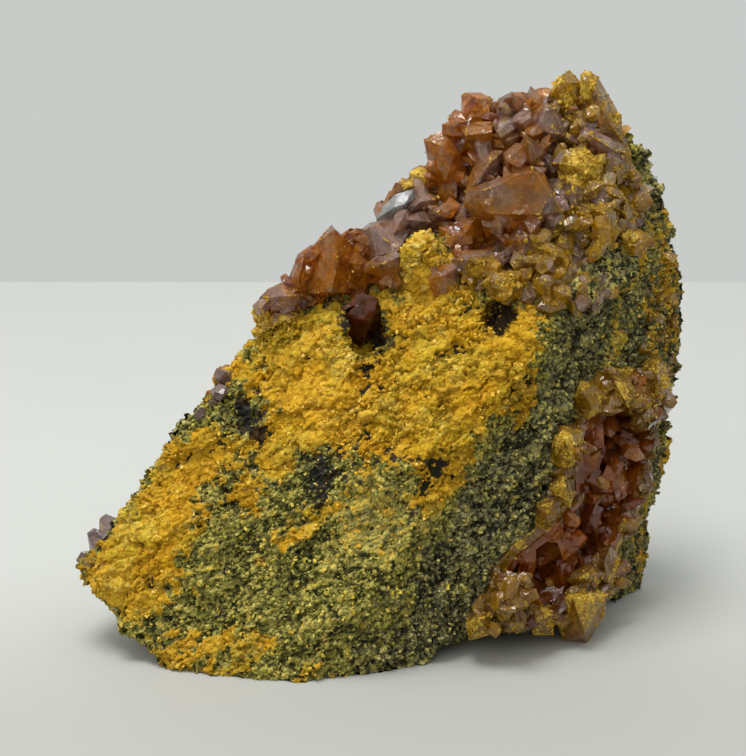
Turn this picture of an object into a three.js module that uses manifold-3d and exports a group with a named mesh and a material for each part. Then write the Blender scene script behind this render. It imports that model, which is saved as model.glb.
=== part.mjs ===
// Orpiment specimen: a broken block of dark host rock with a crumbly yellow face, amber crystals grown
// along its crest and over the top of its back, and a crystal-lined hollow in its right front face.
// Millimetres. +Z is up, +X is to the right and +Y is away from a viewer who faces the yellow broken face.
import * as THREE from "three";
import { ConvexGeometry } from "three/addons/geometries/ConvexGeometry.js";
import { ImprovedNoise } from "three/addons/math/ImprovedNoise.js";
import { TessellateModifier } from "three/addons/modifiers/TessellateModifier.js";
import { mergeVertices } from "three/addons/utils/BufferGeometryUtils.js";
import Module from "manifold-3d";

const wasm = await Module();
wasm.setup();

// Driving dimensions

const seam = 0.3; // gap between neighbouring pieces
const shardSeam = 0.7; // growth of the pale shard's corners that leaves the seam at its faces
const weld = 1e-3; // corners closer than this are one

const rock = {
  facet: 9.2, // longest edge of a facet
  rounds: 12, // most times that a facet is parted to get there
  lump: { size: 13, height: 1.8 },
  knob: { size: 5.5, height: 1 },
  ledge: { across: [0.8, 0, -0.6], spacing: 6.5, height: 0.7 },
  crustHeight: 1.6, // how far the yellow crust stands proud of the grey rock
  crustFacing: -0.45, // the crust lies where the surface normal's Y is under this
};

// Corners of the broken block, before its lumps and ledges. The base is cut flat at Z = 0.
const blockCorners = [
  [-12, -26, -2], // front foot
  [-30, -21, -2],
  [-39, -17, 5], // under the left tip
  [-46, -10, 13], // left tip
  [-45, -3, 10],
  [-34, -1, 29], // left ridge
  [-21, 1, 47],
  [-15, 1, 51],
  [13, 11, 76], // crest
  [32, 13, 81],
  [45, 15, 76], // right shoulder
  [50.5, 15, 60],
  [51.5, 15, 50],
  [49, 13, 24],
  [46, 16, -2], // right corner of the base
  [33, -7, -2],
  [13, -17, -2],
  [16, -15, 36], // edge between the yellow face and the right front face
  [25, -12, 51],
  [28, -5, 60],
  [36, 30, -2], // back
  [-2, 31, -2],
  [-27, 16, -2],
  [36, 27, 62],
  [8, 22, 50],
];

// Outline of the yellow crust on the front face, as [X, Z].
const crustOutline = [
  [-46, 12], [-33, 30], [-20, 50], [-2, 54], [12, 58], [26, 52],
  [22, 42], [14, 36], [8, 28], [-12, 30], [-22, 20], [-36, 8],
];

// Slab of yellow crust that leans up into the crest crystals.
const crustSlab = {
  root: [8, 3, 49], tip: [9, -3.5, 66], width: 9.5, thick: 5.5,
  shoulder: 0.8, ridge: 0.45, slant: 0.2,
};

// Hollow in the right front face: a bent groove through these points, of these radii.
const hollow = {
  course: [
    { at: [38, 1, 32], radius: 11.5 },
    { at: [36.5, -0.5, 21.5], radius: 8 },
    { at: [32, -5, 14.5], radius: 9 },
    { at: [24, -11, 12], radius: 6.4 },
  ],
  outward: [0.73, -0.68, 0.05],
  lining: 1.6, // thickness of the crust on its wall
  opened: 1.5, // how far the lining thins towards the mouth
  lip: 0.9, // how far the lining and the rim stand out of the rock
  rim: 2, // width of the rim around its mouth
  crystal: 6.4, // size of the crystals on its wall
  rooted: 0.85, // where they are rooted, as a share of the groove's radius
  crowding: 0.68, // smallest distance between them, as a share of their size
  facing: -0.1, // lowest share of the outward direction that they may point in
  seed: 11,
};

// Pits in the top of the yellow face and the arch under the front edge, as ellipsoids.
const bladePit = { at: [-1, -3, 50], radii: [4.2, 6.5, 5.2] };
const rimPit = { at: [19.4, -8.5, 53.2], radii: [3.2, 5.5, 3.2] };
const footArch = { at: [20, -17, -1], radii: [11, 7, 3.6] };

// The druse: a thin bed of orpiment over the crest and the back slope, and the crystals that stand on it.
const druse = {
  bed: 1, // thickness of the layer that joins the roots
  sunk: 2.6, // how much lower the rock is under the crest crystals
  drop: 3.5, // how much lower the root of a crest crystal is than its outline
  crest: {
    outline: [
      [-19, 49], [-16, 58], [2, 66], [14, 76], [26, 88], [38, 88],
      [43, 70], [42, 58], [34, 55], [26, 58], [16, 59], [6, 59], [-6, 55.5],
    ], // as [X, Z], in front view
    front: -14, // its bed lies between these two Y values
    back: 12,
  },
  backSlope: {
    outline: [[-27, 28], [-19, 46], [-12, 54], [16, 76], [28, 84], [37, 72], [22, 54], [2, 42], [-12, 30]],
    front: 5,
    back: 40,
    spacing: 7.8, // of the small crystals on it
    size: 8.5,
    seed: 15,
  },
};

// Proportions of a crystal: its root's width and its flat side, as shares of its full width, and how thick
// it is where its own form doesn't say.
const habit = { root: 0.85, flat: 0.55, thick: 0.7 };

// Small crystals: ranges of their measures. Lengths are shares of their size.
const sproutHabit = {
  length: [0.8, 1.3], width: [0.65, 1], thick: [0.45, 0.7], shoulder: [0.5, 0.8], ridge: [0.1, 0.6],
  sunk: 0.35, // share of the length that is under the surface
  stray: 0.7, // how far the axis may stray from the surface normal
  rise: 0.2, // how much of that is upwards
};

// Crystals with a form of their own: their outline in front view and the ridge that stands before it, as
// [X, Z], and the Y of the ridge, of the outline and of the root.
const crestCrystals = [
  { // spear
    outline: [[-6.5, 66.5], [-10, 62.5], [-11, 55.5], [-3.5, 55.5], [-2.5, 62.5]],
    ridge: [[-6, 66.5], [-5.5, 61.5], [-6.5, 56.5]], depths: [-3, 0.5, 6],
  },
  { // red splinter beside it
    outline: [[-10.5, 62.5], [-12.5, 60], [-14, 56], [-10.5, 54.5]],
    ridge: [[-11, 61], [-12, 56.5]], depths: [-2, 1, 6],
  },
  { // low violet block
    outline: [[-18, 55], [-16.5, 56.5], [-14.5, 57.5], [-11, 55.5], [-12.5, 53.5], [-16, 53]],
    ridge: [[-14.5, 56]], depths: [-4, -1, 5],
  },
  { // left knob
    outline: [[-19, 54], [-18, 55], [-16.5, 55], [-16.5, 51.5], [-18, 51.5]],
    ridge: [[-17.5, 54]], depths: [-4, -2, 3],
  },
  { // orange wedge
    outline: [[-2.5, 63], [-4.5, 60.5], [-4.5, 56.5], [-1, 56], [0, 60.5]],
    ridge: [[-2.5, 61]], depths: [-3, 0, 5],
  },
  { // violet block
    outline: [[-2.5, 65], [-0.5, 66.5], [2.5, 67], [6, 65.5], [5, 61], [0.5, 60.5], [-2.5, 61]],
    ridge: [[-0.5, 66.5], [0.5, 62], [4, 63]], depths: [-2, 2, 8],
  },
  { // block under it
    outline: [[-1.5, 60.5], [0.5, 62], [4.5, 62], [4.5, 59.5], [2, 58.5], [-1.5, 59.5]],
    ridge: [[1.5, 61.5]], depths: [-5, -2, 4],
  },
  { // yellow crystal over the shard
    outline: [[2.5, 69.5], [3.5, 72], [6, 72.5], [9.5, 71.5], [6.5, 70.5]],
    ridge: [[6, 72]], depths: [4, 6.5, 11],
  },
  { // brown block
    outline: [[4.5, 68], [6.5, 70.5], [8.5, 71], [10.5, 70], [9.5, 67.5], [5, 67]],
    ridge: [[7.5, 70]], depths: [1, 4, 9],
  },
  { // dark violet wedge
    outline: [[4, 67], [8, 68.5], [9.5, 66.5], [6.5, 64.5]],
    ridge: [[6.5, 67.5]], depths: [-1, 2, 7],
  },
  { // olive lump
    outline: [[8, 67.5], [9.5, 69], [11.5, 69], [12.5, 66.5], [9, 65.5]],
    ridge: [[10, 68.5]], depths: [0, 3, 8],
  },
  { // orange column
    outline: [[8, 79], [11, 80.5], [12.5, 80], [14.5, 77.5], [15, 73.5], [14, 71.5], [9.5, 72]],
    ridge: [[11, 78.5], [12.5, 76.5], [11.5, 73]], depths: [3, 6, 11],
  },
  { // dark splinter left of it
    outline: [[7.5, 73.5], [9, 74.5], [10.5, 72.5], [8.5, 71]],
    ridge: [[9, 73.5]], depths: [3, 5, 9],
  },
  { // window crystal
    outline: [[14, 85.5], [14.5, 86], [17, 86], [19, 85], [18.5, 81], [14, 81.5]],
    ridge: [[16.5, 85.5], [18, 82.5], [14.5, 82.5]], depths: [6, 9, 13],
  },
  { // block left of it
    outline: [[12, 82.5], [13, 83.5], [14.5, 83], [14.5, 80.5], [13.5, 78.5], [12.5, 79.5]],
    ridge: [[13, 82.5]], depths: [5, 8, 12],
  },
  { // orange block
    outline: [[13.5, 81], [14.5, 82], [18.5, 82], [19, 77.5], [15.5, 77]],
    ridge: [[14.5, 80.5], [18.5, 81]], depths: [1, 5, 10],
  },
  { // pink block
    outline: [[18.5, 82.5], [20, 85], [22, 86], [24, 85.5], [26, 84], [25, 82], [21, 80.5]],
    ridge: [[21, 85.5], [22, 82.5]], depths: [7, 10, 14],
  },
  { // grey plate
    outline: [[18, 81.5], [22, 82.5], [24.5, 82.5], [22.5, 80.5]],
    ridge: [[21, 82]], depths: [3, 5, 9],
  },
  { // brown-violet block
    outline: [[24, 80.5], [25, 83], [27, 85], [29, 84], [31, 79.5], [27, 78]],
    ridge: [[27, 84], [28.5, 80.5], [25.5, 81]], depths: [3, 6.5, 12],
  },
  { // left horn
    outline: [[27.5, 85], [29, 88], [31, 89.5], [33, 87.5], [33.5, 82], [30, 81]],
    ridge: [[29.5, 88], [30.5, 84]], depths: [6, 9.5, 14],
  },
  { // right horn
    outline: [[33, 88], [33.5, 89.5], [35.5, 88.5], [39.5, 82], [40, 78], [35, 77.5]],
    ridge: [[34.5, 87.5], [36.5, 82.5]], depths: [6, 10, 16],
  },
  { // grey prism under the horns
    outline: [[31.5, 80.5], [33, 81.5], [39, 78.5], [40, 77], [37.5, 76], [34, 77.5]],
    ridge: [[34.5, 80], [37.5, 78]], depths: [2, 5.5, 11],
  },
  { // yellow crust block
    outline: [[28, 76], [29.5, 78], [33.5, 78], [36, 75.5], [36, 73], [33, 71.5]],
    ridge: [[31.5, 76]], depths: [-1, 2.5, 9],
  },
  { // violet blade
    outline: [[14.5, 71.5], [15.5, 75], [18.5, 78], [20.5, 78], [19.5, 75], [17, 71.5]],
    ridge: [[18, 76.5], [16.5, 73.5]], depths: [-1, 2, 8],
  },
  { // middle block
    outline: [[22, 77], [24, 80.5], [26, 79], [27, 77.5], [26.5, 75], [23, 75]],
    ridge: [[24, 79.5], [24.5, 76.5]], depths: [0, 3.5, 10],
  },
  { // block left of it
    outline: [[18, 80], [21, 81], [23.5, 80], [22.5, 76.5], [20.5, 74.5]],
    ridge: [[21, 79.5]], depths: [2, 5, 10],
  },
  { // largest
    outline: [[14, 70], [14.5, 72.5], [18.5, 74], [24.5, 76], [26.5, 75], [29.5, 69], [25.5, 67], [17, 67]],
    ridge: [[16.5, 73], [24.5, 76], [27, 72.5], [25.5, 69.5], [18, 69.5]], depths: [-6, -2, 8],
  },
  { // dark red block
    outline: [[12.5, 67], [16.5, 68.5], [18, 64.5], [14.5, 62]],
    ridge: [[14.5, 66.5]], depths: [-4, -1, 6],
  },
  { // dark red wedge
    outline: [[16.5, 68.5], [20.5, 68.5], [21, 65], [17.5, 63.5]],
    ridge: [[18.5, 67.5]], depths: [-3.5, -1, 6],
  },
  { // orange-brown block
    outline: [[19.5, 68.5], [25, 68.5], [25.5, 66], [23, 64], [20, 65]],
    ridge: [[22, 67.5]], depths: [-5, -2, 6],
  },
  { // olive block
    outline: [[26, 69], [29.5, 69], [30.5, 67], [28.5, 64.5], [26, 65.5]],
    ridge: [[28, 68]], depths: [-4.5, -2, 5],
  },
  { // grey-brown prism
    outline: [[29.5, 74], [32, 74.5], [33.5, 72], [33, 67.5], [31.5, 66.5]],
    ridge: [[31, 73.5], [31, 69]], depths: [-2.5, 1, 9],
  },
  { // yellow-brown lump
    outline: [[31, 69], [32.5, 70], [34.5, 69], [34.5, 66.5], [32, 65.5]],
    ridge: [[32.5, 69]], depths: [-3.5, -1, 6],
  },
  { // upper yellow block
    outline: [[33, 69.5], [36.5, 70], [38, 68.5], [38, 65.5], [34, 65.5]],
    ridge: [[35.5, 69]], depths: [-3, 0, 8],
  },
  { // lower yellow block
    outline: [[32.5, 65.5], [34.5, 66.5], [37.5, 66], [38, 63.5], [36, 62]],
    ridge: [[35, 65.5]], depths: [-4, -1, 6],
  },
  { // right yellow block
    outline: [[38.5, 64.5], [40.5, 65.5], [42, 64.5], [42.5, 61.5], [40.5, 60.5]],
    ridge: [[40, 64]], depths: [1, 4, 10],
  },
  { // dark block
    outline: [[20.5, 65], [22, 66.5], [25.5, 66.5], [26, 63], [24, 60.5], [21, 61]],
    ridge: [[22.5, 65.5], [23, 62.5]], depths: [-7, -4, 4],
  },
  { // yellow lath
    outline: [[24, 64.5], [26, 65.5], [30, 63.5], [31, 61.5], [29, 60], [25, 62]],
    ridge: [[27, 64]], depths: [-7.5, -5, 2],
  },
  { // brown-yellow block
    outline: [[12, 62], [14, 63.5], [18, 63.5], [20.5, 61.5], [19.5, 58.5], [15, 58]],
    ridge: [[16, 62.5]], depths: [-7.5, -4.5, 3],
  },
  { // block over the small pit
    outline: [[16.5, 59], [18.5, 61], [22.5, 61], [24, 59], [22.5, 56.5], [18.5, 57]],
    ridge: [[20, 60.5], [20.5, 58.5]], depths: [-11, -8, 1],
  },
  { // grey-brown block
    outline: [[23.5, 59], [26, 61.5], [29.5, 61.5], [32, 58.5], [30.5, 54.5], [27, 53.5]],
    ridge: [[27, 60], [27, 56.5]], depths: [-9, -5.5, 2],
  },
  { // lump between the horns
    outline: [[30.5, 82.5], [33, 83.5], [35.5, 81.5], [34.5, 79], [31.5, 78.5]],
    ridge: [[32.5, 81.5]], depths: [4, 7, 12],
  },
  { // right grey lump
    outline: [[36.5, 76], [39.5, 76.5], [41, 74], [39, 71.5], [37, 72.5]],
    ridge: [[38, 75]], depths: [3, 6, 12],
  },
  { // lump under it
    outline: [[35.5, 72], [38, 72.5], [40, 70], [37.5, 68.5]],
    ridge: [[37, 71.5]], depths: [0, 3, 9],
  },
  { // last lump at the right
    outline: [[38, 68.5], [40, 69.5], [42, 67.5], [41, 64.5]],
    ridge: [[39.5, 68]], depths: [2, 5, 10],
  },
  { // dark red lump by the slab
    outline: [[8.5, 59], [11, 62], [13.5, 61], [13, 56.5], [9.5, 56]],
    ridge: [[11, 60]], depths: [-7, -4.5, 2],
  },
];

// Crystals of the druse that show past the left edge.
const edgeCrystals = [
  { root: [-22, 3, 35], tip: [-27.5, 4, 37], width: 5.4, shoulder: 0.7, ridge: 0.5 },
  { root: [-21, 4, 39], tip: [-25.8, 4.5, 41], width: 4.8, shoulder: 0.7, ridge: 0.4 },
  { root: [-24, 3, 32], tip: [-30, 4, 33], width: 4.4, shoulder: 0.7, ridge: 0.3 },
  { root: [-20, 5, 37], tip: [-25.5, 8, 40], width: 5, shoulder: 0.7, ridge: 0.3 },
];

// Crystals at the left tip and in the pit, each group one piece.
const tipCrystals = [
  { root: [-41, -7, 11], tip: [-47, -8.5, 14.5], width: 4.6, shoulder: 0.7, ridge: 0.4 },
  { root: [-41, -5, 12], tip: [-45.5, -5, 17.5], width: 4.6, shoulder: 0.65, ridge: 0.3 },
  { root: [-40, -3, 13], tip: [-44, -1, 18.5], width: 4.6, shoulder: 0.65, ridge: 0.3 },
];
const pitBlade = {
  root: [-4.5, 4, 45], tip: [-0.5, -3.5, 56], width: 6.5, thick: 3,
  shoulder: 0.7, ridge: 0.4,
};
const paleShard = {
  outline: [[0.5, 66.5], [1.5, 68.5], [3.5, 70.5], [6.5, 71.5], [7, 70], [5, 67.5], [3, 66]],
  ridge: [[3.5, 69], [5, 69.5]], depths: [2, 4.5, 9],
};

// Blocky crystals around the mouth of the hollow, described as those of the crest are.
const rimCrystals = [
  { // violet-brown block over the mouth
    outline: [[30.5, 39], [32.5, 42.5], [35, 42], [37, 40], [37, 37.5], [34, 36.5]],
    ridge: [[32.5, 42], [34, 39.5]], depths: [-9.5, -5.5, 4],
  },
  { // pale yellow block
    outline: [[36.5, 41], [38, 43], [40.5, 42], [42, 39.5], [41, 36.5], [38.5, 37.5]],
    ridge: [[38, 42.5], [39.5, 40]], depths: [-7, -3, 7],
  },
  { // brown block at the right
    outline: [[42, 39], [44, 40], [45.5, 38], [45, 33.5], [43, 34]],
    ridge: [[43.5, 38.5]], depths: [-2.5, 1.5, 11],
  },
  { // tall brown block
    outline: [[44, 42], [46, 43.5], [47.5, 42.5], [49, 37], [46.5, 34], [44.5, 37]],
    ridge: [[45.5, 42], [46, 38.5]], depths: [0.5, 5.5, 14],
  },
  { // orange knob
    outline: [[45.5, 35.5], [48, 36.5], [49.5, 35.5], [47.5, 33]],
    ridge: [[47, 36.5]], depths: [1.5, 5.5, 13],
  },
  { // large knob at the right edge
    outline: [[46.5, 27.5], [48.5, 30], [50, 27.5], [49, 24.5], [47.5, 22]],
    ridge: [[47.5, 29]], depths: [1, 5.5, 13],
  },
  { // upper left cluster
    outline: [[27.5, 35], [29, 37], [33, 36], [32.5, 32], [30.5, 29.5], [28, 30.5]],
    ridge: [[29.5, 36], [30.5, 33]], depths: [-14.5, -10.5, -1],
  },
  { // left olive block
    outline: [[27.5, 27], [30, 29.5], [31.5, 25.5], [31, 23.5], [28.5, 25]],
    ridge: [[29.5, 28]], depths: [-14.5, -11, -2],
  },
  { // lower left block
    outline: [[25.5, 24.5], [28, 25.5], [29, 23], [27.5, 20.5], [25.5, 21.5]],
    ridge: [[27, 24.5]], depths: [-17, -13.5, -4],
  },
  { // yellow lump at the right
    outline: [[39, 15.5], [40, 18], [41.5, 18.5], [42.5, 16], [40, 14]],
    ridge: [[40, 18]], depths: [-3.5, 0.5, 9],
  },
  { // yellow crust at the right
    outline: [[36, 13.5], [38.5, 14.5], [40, 12], [39.5, 6.5], [37.5, 7], [35, 10.5]],
    ridge: [[37, 13.5], [37.5, 10]], depths: [-8, -4, 6],
  },
  { // pale violet block
    outline: [[30, 10], [31.5, 12], [35, 12.5], [37, 11.5], [36, 9], [32, 8.5]],
    ridge: [[33, 12.5]], depths: [-12.5, -8.5, 1],
  },
  { // large lower block
    outline: [[29, 6.5], [31, 9], [35, 9.5], [37.5, 8], [37, 4], [34.5, -0.5], [30.5, 0]],
    ridge: [[31.5, 9.5], [34, 9], [33.5, 3.5]], depths: [-14, -9, 0],
  },
  { // pinkish block
    outline: [[18, 8.5], [20, 13.5], [22.5, 13.5], [24.5, 9.5], [22, 7.5]],
    ridge: [[21, 13.5], [21.5, 10.5]], depths: [-21, -17, -7],
  },
  { // low yellow knob
    outline: [[24.5, 6.5], [26.5, 7.5], [29, 6.5], [28.5, 3], [25.5, 3]],
    ridge: [[26.5, 7.5]], depths: [-17.5, -13.5, -5],
  },
  { // low left knob
    outline: [[14.5, 7], [16.5, 9], [18.5, 8.5], [18.5, 5], [15, 4]],
    ridge: [[16.5, 9]], depths: [-22, -18, -9],
  },
  { // knob between them
    outline: [[20, 7], [22, 8], [24.5, 7], [24, 4.5], [20.5, 4.5]],
    ridge: [[22, 7.5]], depths: [-19.5, -16, -7],
  },
];

// Materials

function material(color, roughness, opacity = 1) {
  return new THREE.MeshStandardMaterial({ color, roughness, opacity, transparent: opacity < 1 });
}
const yellowRock = material(0xb08a24, 0.85);
const amber = material(0xa8540f, 0.15, 0.8);
const deepAmber = material(0x6e2408, 0.15, 0.85);
const dustedAmber = material(0xb8891c, 0.4);
const smokyViolet = material(0x7d6560, 0.25, 0.8);
const paleSpar = material(0xc9cdcb, 0.2, 0.6);

// Solids

const up = new THREE.Vector3(0, 0, 1);
const vector = (point) => new THREE.Vector3(...point);
const join = (solids) => solids.reduce((whole, next) => whole.add(next));

function solidOf(geometry) {
  const bare = new THREE.BufferGeometry().setAttribute("position", geometry.getAttribute("position"));
  bare.setIndex(geometry.getIndex());
  const merged = mergeVertices(bare, weld);
  return new wasm.Manifold(
    new wasm.Mesh({
      numProp: 3,
      vertProperties: new Float32Array(merged.attributes.position.array),
      triVerts: new Uint32Array(merged.index.array),
    }),
  );
}

function geometryOf(solid) {
  const mesh = solid.getMesh();
  const geometry = new THREE.BufferGeometry();
  geometry.setAttribute("position", new THREE.BufferAttribute(new Float32Array(mesh.vertProperties), 3));
  geometry.setIndex(new THREE.BufferAttribute(new Uint32Array(mesh.triVerts), 1));
  return geometry;
}

function pointsOf(geometry, attribute = "position") {
  const values = geometry.getAttribute(attribute);
  return Array.from({ length: values.count }, (_, i) => new THREE.Vector3().fromBufferAttribute(values, i));
}

// Numbers from 0 to 1 that come out the same on every run.
function dice(seed) {
  const [factor, step, range] = [1664525, 1013904223, 2 ** 32];
  let state = seed;
  return () => {
    state = (state * factor + step) % range;
    return state / range;
  };
}

function ellipsoid({ at, radii }, growth = 0) {
  const ball = new THREE.IcosahedronGeometry(1, 1);
  ball.scale(...radii.map((radius) => radius + growth));
  ball.translate(...at);
  return solidOf(ball);
}

// Everything inside an [X, Z] outline, between two Y values.
function prism(outline, front, back) {
  const shape = new THREE.Shape(outline.map(([x, z]) => new THREE.Vector2(x, z)));
  const slab = new THREE.ExtrudeGeometry(shape, { depth: back - front, bevelEnabled: false });
  slab.rotateX(Math.PI / 2);
  slab.translate(0, back, 0);
  return solidOf(slab);
}

// Everything under the base.
const ground = { width: 300, depth: 100 };
const underground = new THREE.BoxGeometry(ground.width, ground.width, ground.depth);
underground.translate(0, 0, -ground.depth / 2);
const floor = solidOf(underground);

// Host rock

const noise = new ImprovedNoise();
const noiseStart = new THREE.Vector3(31.7, 11.3, 5.9);

function wave(point, { size, height }) {
  const place = point.clone().divideScalar(size).add(noiseStart);
  return noise.noise(place.x, place.y, place.z) * height;
}

function insideOutline(outline, x, z) {
  let inside = false;
  outline.forEach(([xi, zi], i) => {
    const [xj, zj] = outline.at(i - 1);
    if (zi > z !== zj > z && x < ((xj - xi) * (z - zi)) / (zj - zi) + xi) inside = !inside;
  });
  return inside;
}

// How far the rock's surface stands out at a point of the plain block.
function relief(point, normal) {
  const lumps = wave(point, rock.lump) + wave(point, rock.knob);
  const along = point.dot(vector(rock.ledge.across)) / rock.ledge.spacing;
  const ledge = (along - Math.floor(along) - 0.5) * rock.ledge.height;
  const facesFront = normal.y < rock.crustFacing;
  const crust = facesFront && insideOutline(crustOutline, point.x, point.z) ? rock.crustHeight : 0;
  return lumps + ledge + crust;
}

const underCrest = ({ x, y, z }) => insideOutline(druse.crest.outline, x, z) && y < druse.crest.back;

// The block with its lumps and ledges, grown outwards by the given amount.
function rockGeometry(growth) {
  const block = new ConvexGeometry(blockCorners.map(vector));
  block.deleteAttribute("normal");
  const facets = mergeVertices(new TessellateModifier(rock.facet, rock.rounds).modify(block), weld);
  facets.computeVertexNormals();
  const normals = pointsOf(facets, "normal");
  const places = facets.getAttribute("position");
  pointsOf(facets).forEach((point, i) => {
    const hidden = underCrest(point);
    const height = hidden ? 0 : relief(point, normals[i]);
    const raised = point.clone().addScaledVector(normals[i], height + growth);
    if (hidden) raised.z -= druse.sunk;
    places.setXYZ(i, ...raised);
  });
  return facets;
}

const rockSolid = (growth) => solidOf(rockGeometry(growth)).add(crystal(crustSlab, growth));

// The hollow's groove: the hull of each two neighbouring balls of its course.
function groove(growth, shift = [0, 0, 0]) {
  const balls = hollow.course.map(({ at, radius }) => {
    const ball = new THREE.IcosahedronGeometry(radius + growth, 0);
    ball.translate(...vector(at).add(vector(shift)));
    return pointsOf(ball);
  });
  return join(balls.slice(1).map((ball, i) => solidOf(new ConvexGeometry([...balls[i], ...ball]))));
}

// Crystals

// A flattened prism with a chisel tip. shoulder is where the tip starts, as a share of the length, ridge is
// the length of the chisel edge, as a share of the width, and slant moves that edge sideways. A lean crystal
// has four sides and not six.
function crystal(form, growth = 0) {
  const { root, tip, width, thick = habit.thick * width, shoulder, ridge } = form;
  const { slant = 0, spin = 0, lean = false } = form;
  const axis = vector(tip).sub(vector(root));
  const length = axis.length() + growth;
  const half = width / 2 + growth;
  const depth = thick / 2 + growth;
  const flat = lean ? 0 : habit.flat;
  const ring = (height, scale) =>
    [[-1, 0], [-flat, 1], [flat, 1], [1, 0], [flat, -1], [-flat, -1]].map(
      ([across, out]) => new THREE.Vector3(across * half * scale, out * depth * scale, height),
    );
  const edge = (side) => new THREE.Vector3((slant + side * ridge) * half, 0, length);
  const rings = [...ring(0, habit.root), ...ring(length * shoulder, 1)];
  const shape = new ConvexGeometry([...rings, edge(-1), edge(1)]);
  shape.rotateZ(spin);
  shape.applyQuaternion(new THREE.Quaternion().setFromUnitVectors(up, axis.normalize()));
  shape.translate(...root);
  return solidOf(shape);
}

// A crystal with a form of its own: the hull of its ridge, its outline and its root, which lies a drop lower.
function brokenCrystal({ outline, ridge, depths: [front, middle, back] }, drop, growth = 0) {
  const centre = outline.reduce((sum, [x, z]) => sum.add(new THREE.Vector2(x, z)), new THREE.Vector2());
  centre.divideScalar(outline.length);
  const root = outline.filter((_, i) => i % 2 === 0).map(([x, z]) => {
    const corner = new THREE.Vector2(x, z).lerp(centre, 1 - habit.root);
    return new THREE.Vector3(corner.x, back, corner.y - drop);
  });
  const corners = [
    ...ridge.map(([x, z]) => new THREE.Vector3(x, front, z)),
    ...outline.map(([x, z]) => new THREE.Vector3(x, middle, z)),
    ...root,
  ];
  const heart = new THREE.Vector3(centre.x, middle, centre.y);
  const outwards = (corner) => corner.clone().sub(heart).normalize();
  const grown = corners.map((corner) => corner.clone().addScaledVector(outwards(corner), growth));
  return solidOf(new ConvexGeometry(grown));
}

// How far a place is from a crystal's middle line.
function distanceTo({ root, tip }, place) {
  const line = new THREE.Line3(vector(root), vector(tip));
  return line.closestPointToPoint(place, true, new THREE.Vector3()).distanceTo(place);
}

const crystals = (forms) => join(forms.map((form) => crystal(form)));
const brokenCrystals = (forms, drop) => join(forms.map((form) => brokenCrystal(form, drop)));

// A small crystal that stands on a surface, a little off its normal.
function sprout(place, normal, roll, size) {
  const between = ([least, most]) => least + (most - least) * roll();
  const length = size * between(sproutHabit.length);
  const astray = new THREE.Vector3(roll() - 0.5, roll() - 0.5, roll() - 0.5 + sproutHabit.rise);
  const axis = normal.clone().addScaledVector(astray, sproutHabit.stray).normalize();
  return {
    root: place.clone().addScaledVector(axis, -sproutHabit.sunk * length).toArray(),
    tip: place.clone().addScaledVector(axis, length).toArray(),
    width: size * between(sproutHabit.width),
    thick: size * between(sproutHabit.thick),
    shoulder: between(sproutHabit.shoulder),
    ridge: between(sproutHabit.ridge),
    spin: roll() * Math.PI,
    lean: true,
  };
}

// The sites on the rock where small crystals grow: the corners of its facets, thinned to a spacing.
function sites(wanted, spacing) {
  const facets = rockGeometry(0);
  facets.computeVertexNormals();
  const normals = pointsOf(facets, "normal");
  const chosen = [];
  pointsOf(facets).forEach((place, i) => {
    const clearOfOthers = chosen.every((other) => other.place.distanceTo(place) > spacing);
    if (clearOfOthers && wanted(place)) chosen.push({ place, normal: normals[i] });
  });
  return chosen;
}

// The rock with its seam, which crystals are cut by.
const grownRock = rockSolid(seam).add(rockSolid(0).translate([0, 0, seam]));

// The small crystals that stand on the back slope, behind those of the crest.
function backSprouts(roll) {
  const { outline, back, spacing, size } = druse.backSlope;
  const within = ({ x, y, z }) => insideOutline(outline, x, z) && y > druse.crest.back && y < back;
  return sites(within, spacing).map(({ place, normal }) => sprout(place, normal, roll, size));
}

// The largest body of a solid, without the crumbs and sealed bubbles that cuts leave.
function mainBody(solid) {
  const bodies = solidOf(geometryOf(solid)).decompose();
  const largest = bodies.reduce((most, body) => (body.volume() > most.volume() ? body : most));
  return bodies.length > 1 ? mainBody(largest) : largest;
}

function matrixSolid() {
  const hollows = join([groove(0), ellipsoid(bladePit), ellipsoid(rimPit), ellipsoid(footArch), floor]);
  return rockSolid(0).subtract(hollows);
}

function druseSolid() {
  const roll = dice(druse.backSlope.seed);
  const slopes = [druse.crest, druse.backSlope];
  const cover = join(slopes.map(({ outline, front, back }) => prism(outline, front, back)));
  const bed = solidOf(rockGeometry(seam + druse.bed)).intersect(cover);
  const small = crystals([...edgeCrystals, ...backSprouts(roll)]);
  const standing = join([brokenCrystals(crestCrystals, druse.drop), small, bed]);
  const shardWithSeam = brokenCrystal(paleShard, druse.drop, shardSeam);
  const neighbours = join([grownRock, shardWithSeam, crystal(pitBlade, seam)]);
  return mainBody(standing.subtract(join([neighbours, ellipsoid(bladePit), ellipsoid(rimPit)])));
}

// Twelve evenly spread directions, the corners of an icosahedron.
const solidDirections = new THREE.IcosahedronGeometry(1, 0).deleteAttribute("normal").deleteAttribute("uv");

// The balls of the hollow's course, with two more between each two.
function hollowStations() {
  const between = hollow.course.slice(1).flatMap(({ at, radius }, i) => {
    const before = hollow.course[i];
    return [1 / 3, 2 / 3].map((share) => ({
      at: vector(before.at).lerp(vector(at), share).toArray(),
      radius: before.radius + share * (radius - before.radius),
    }));
  });
  return [...hollow.course, ...between];
}

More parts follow.
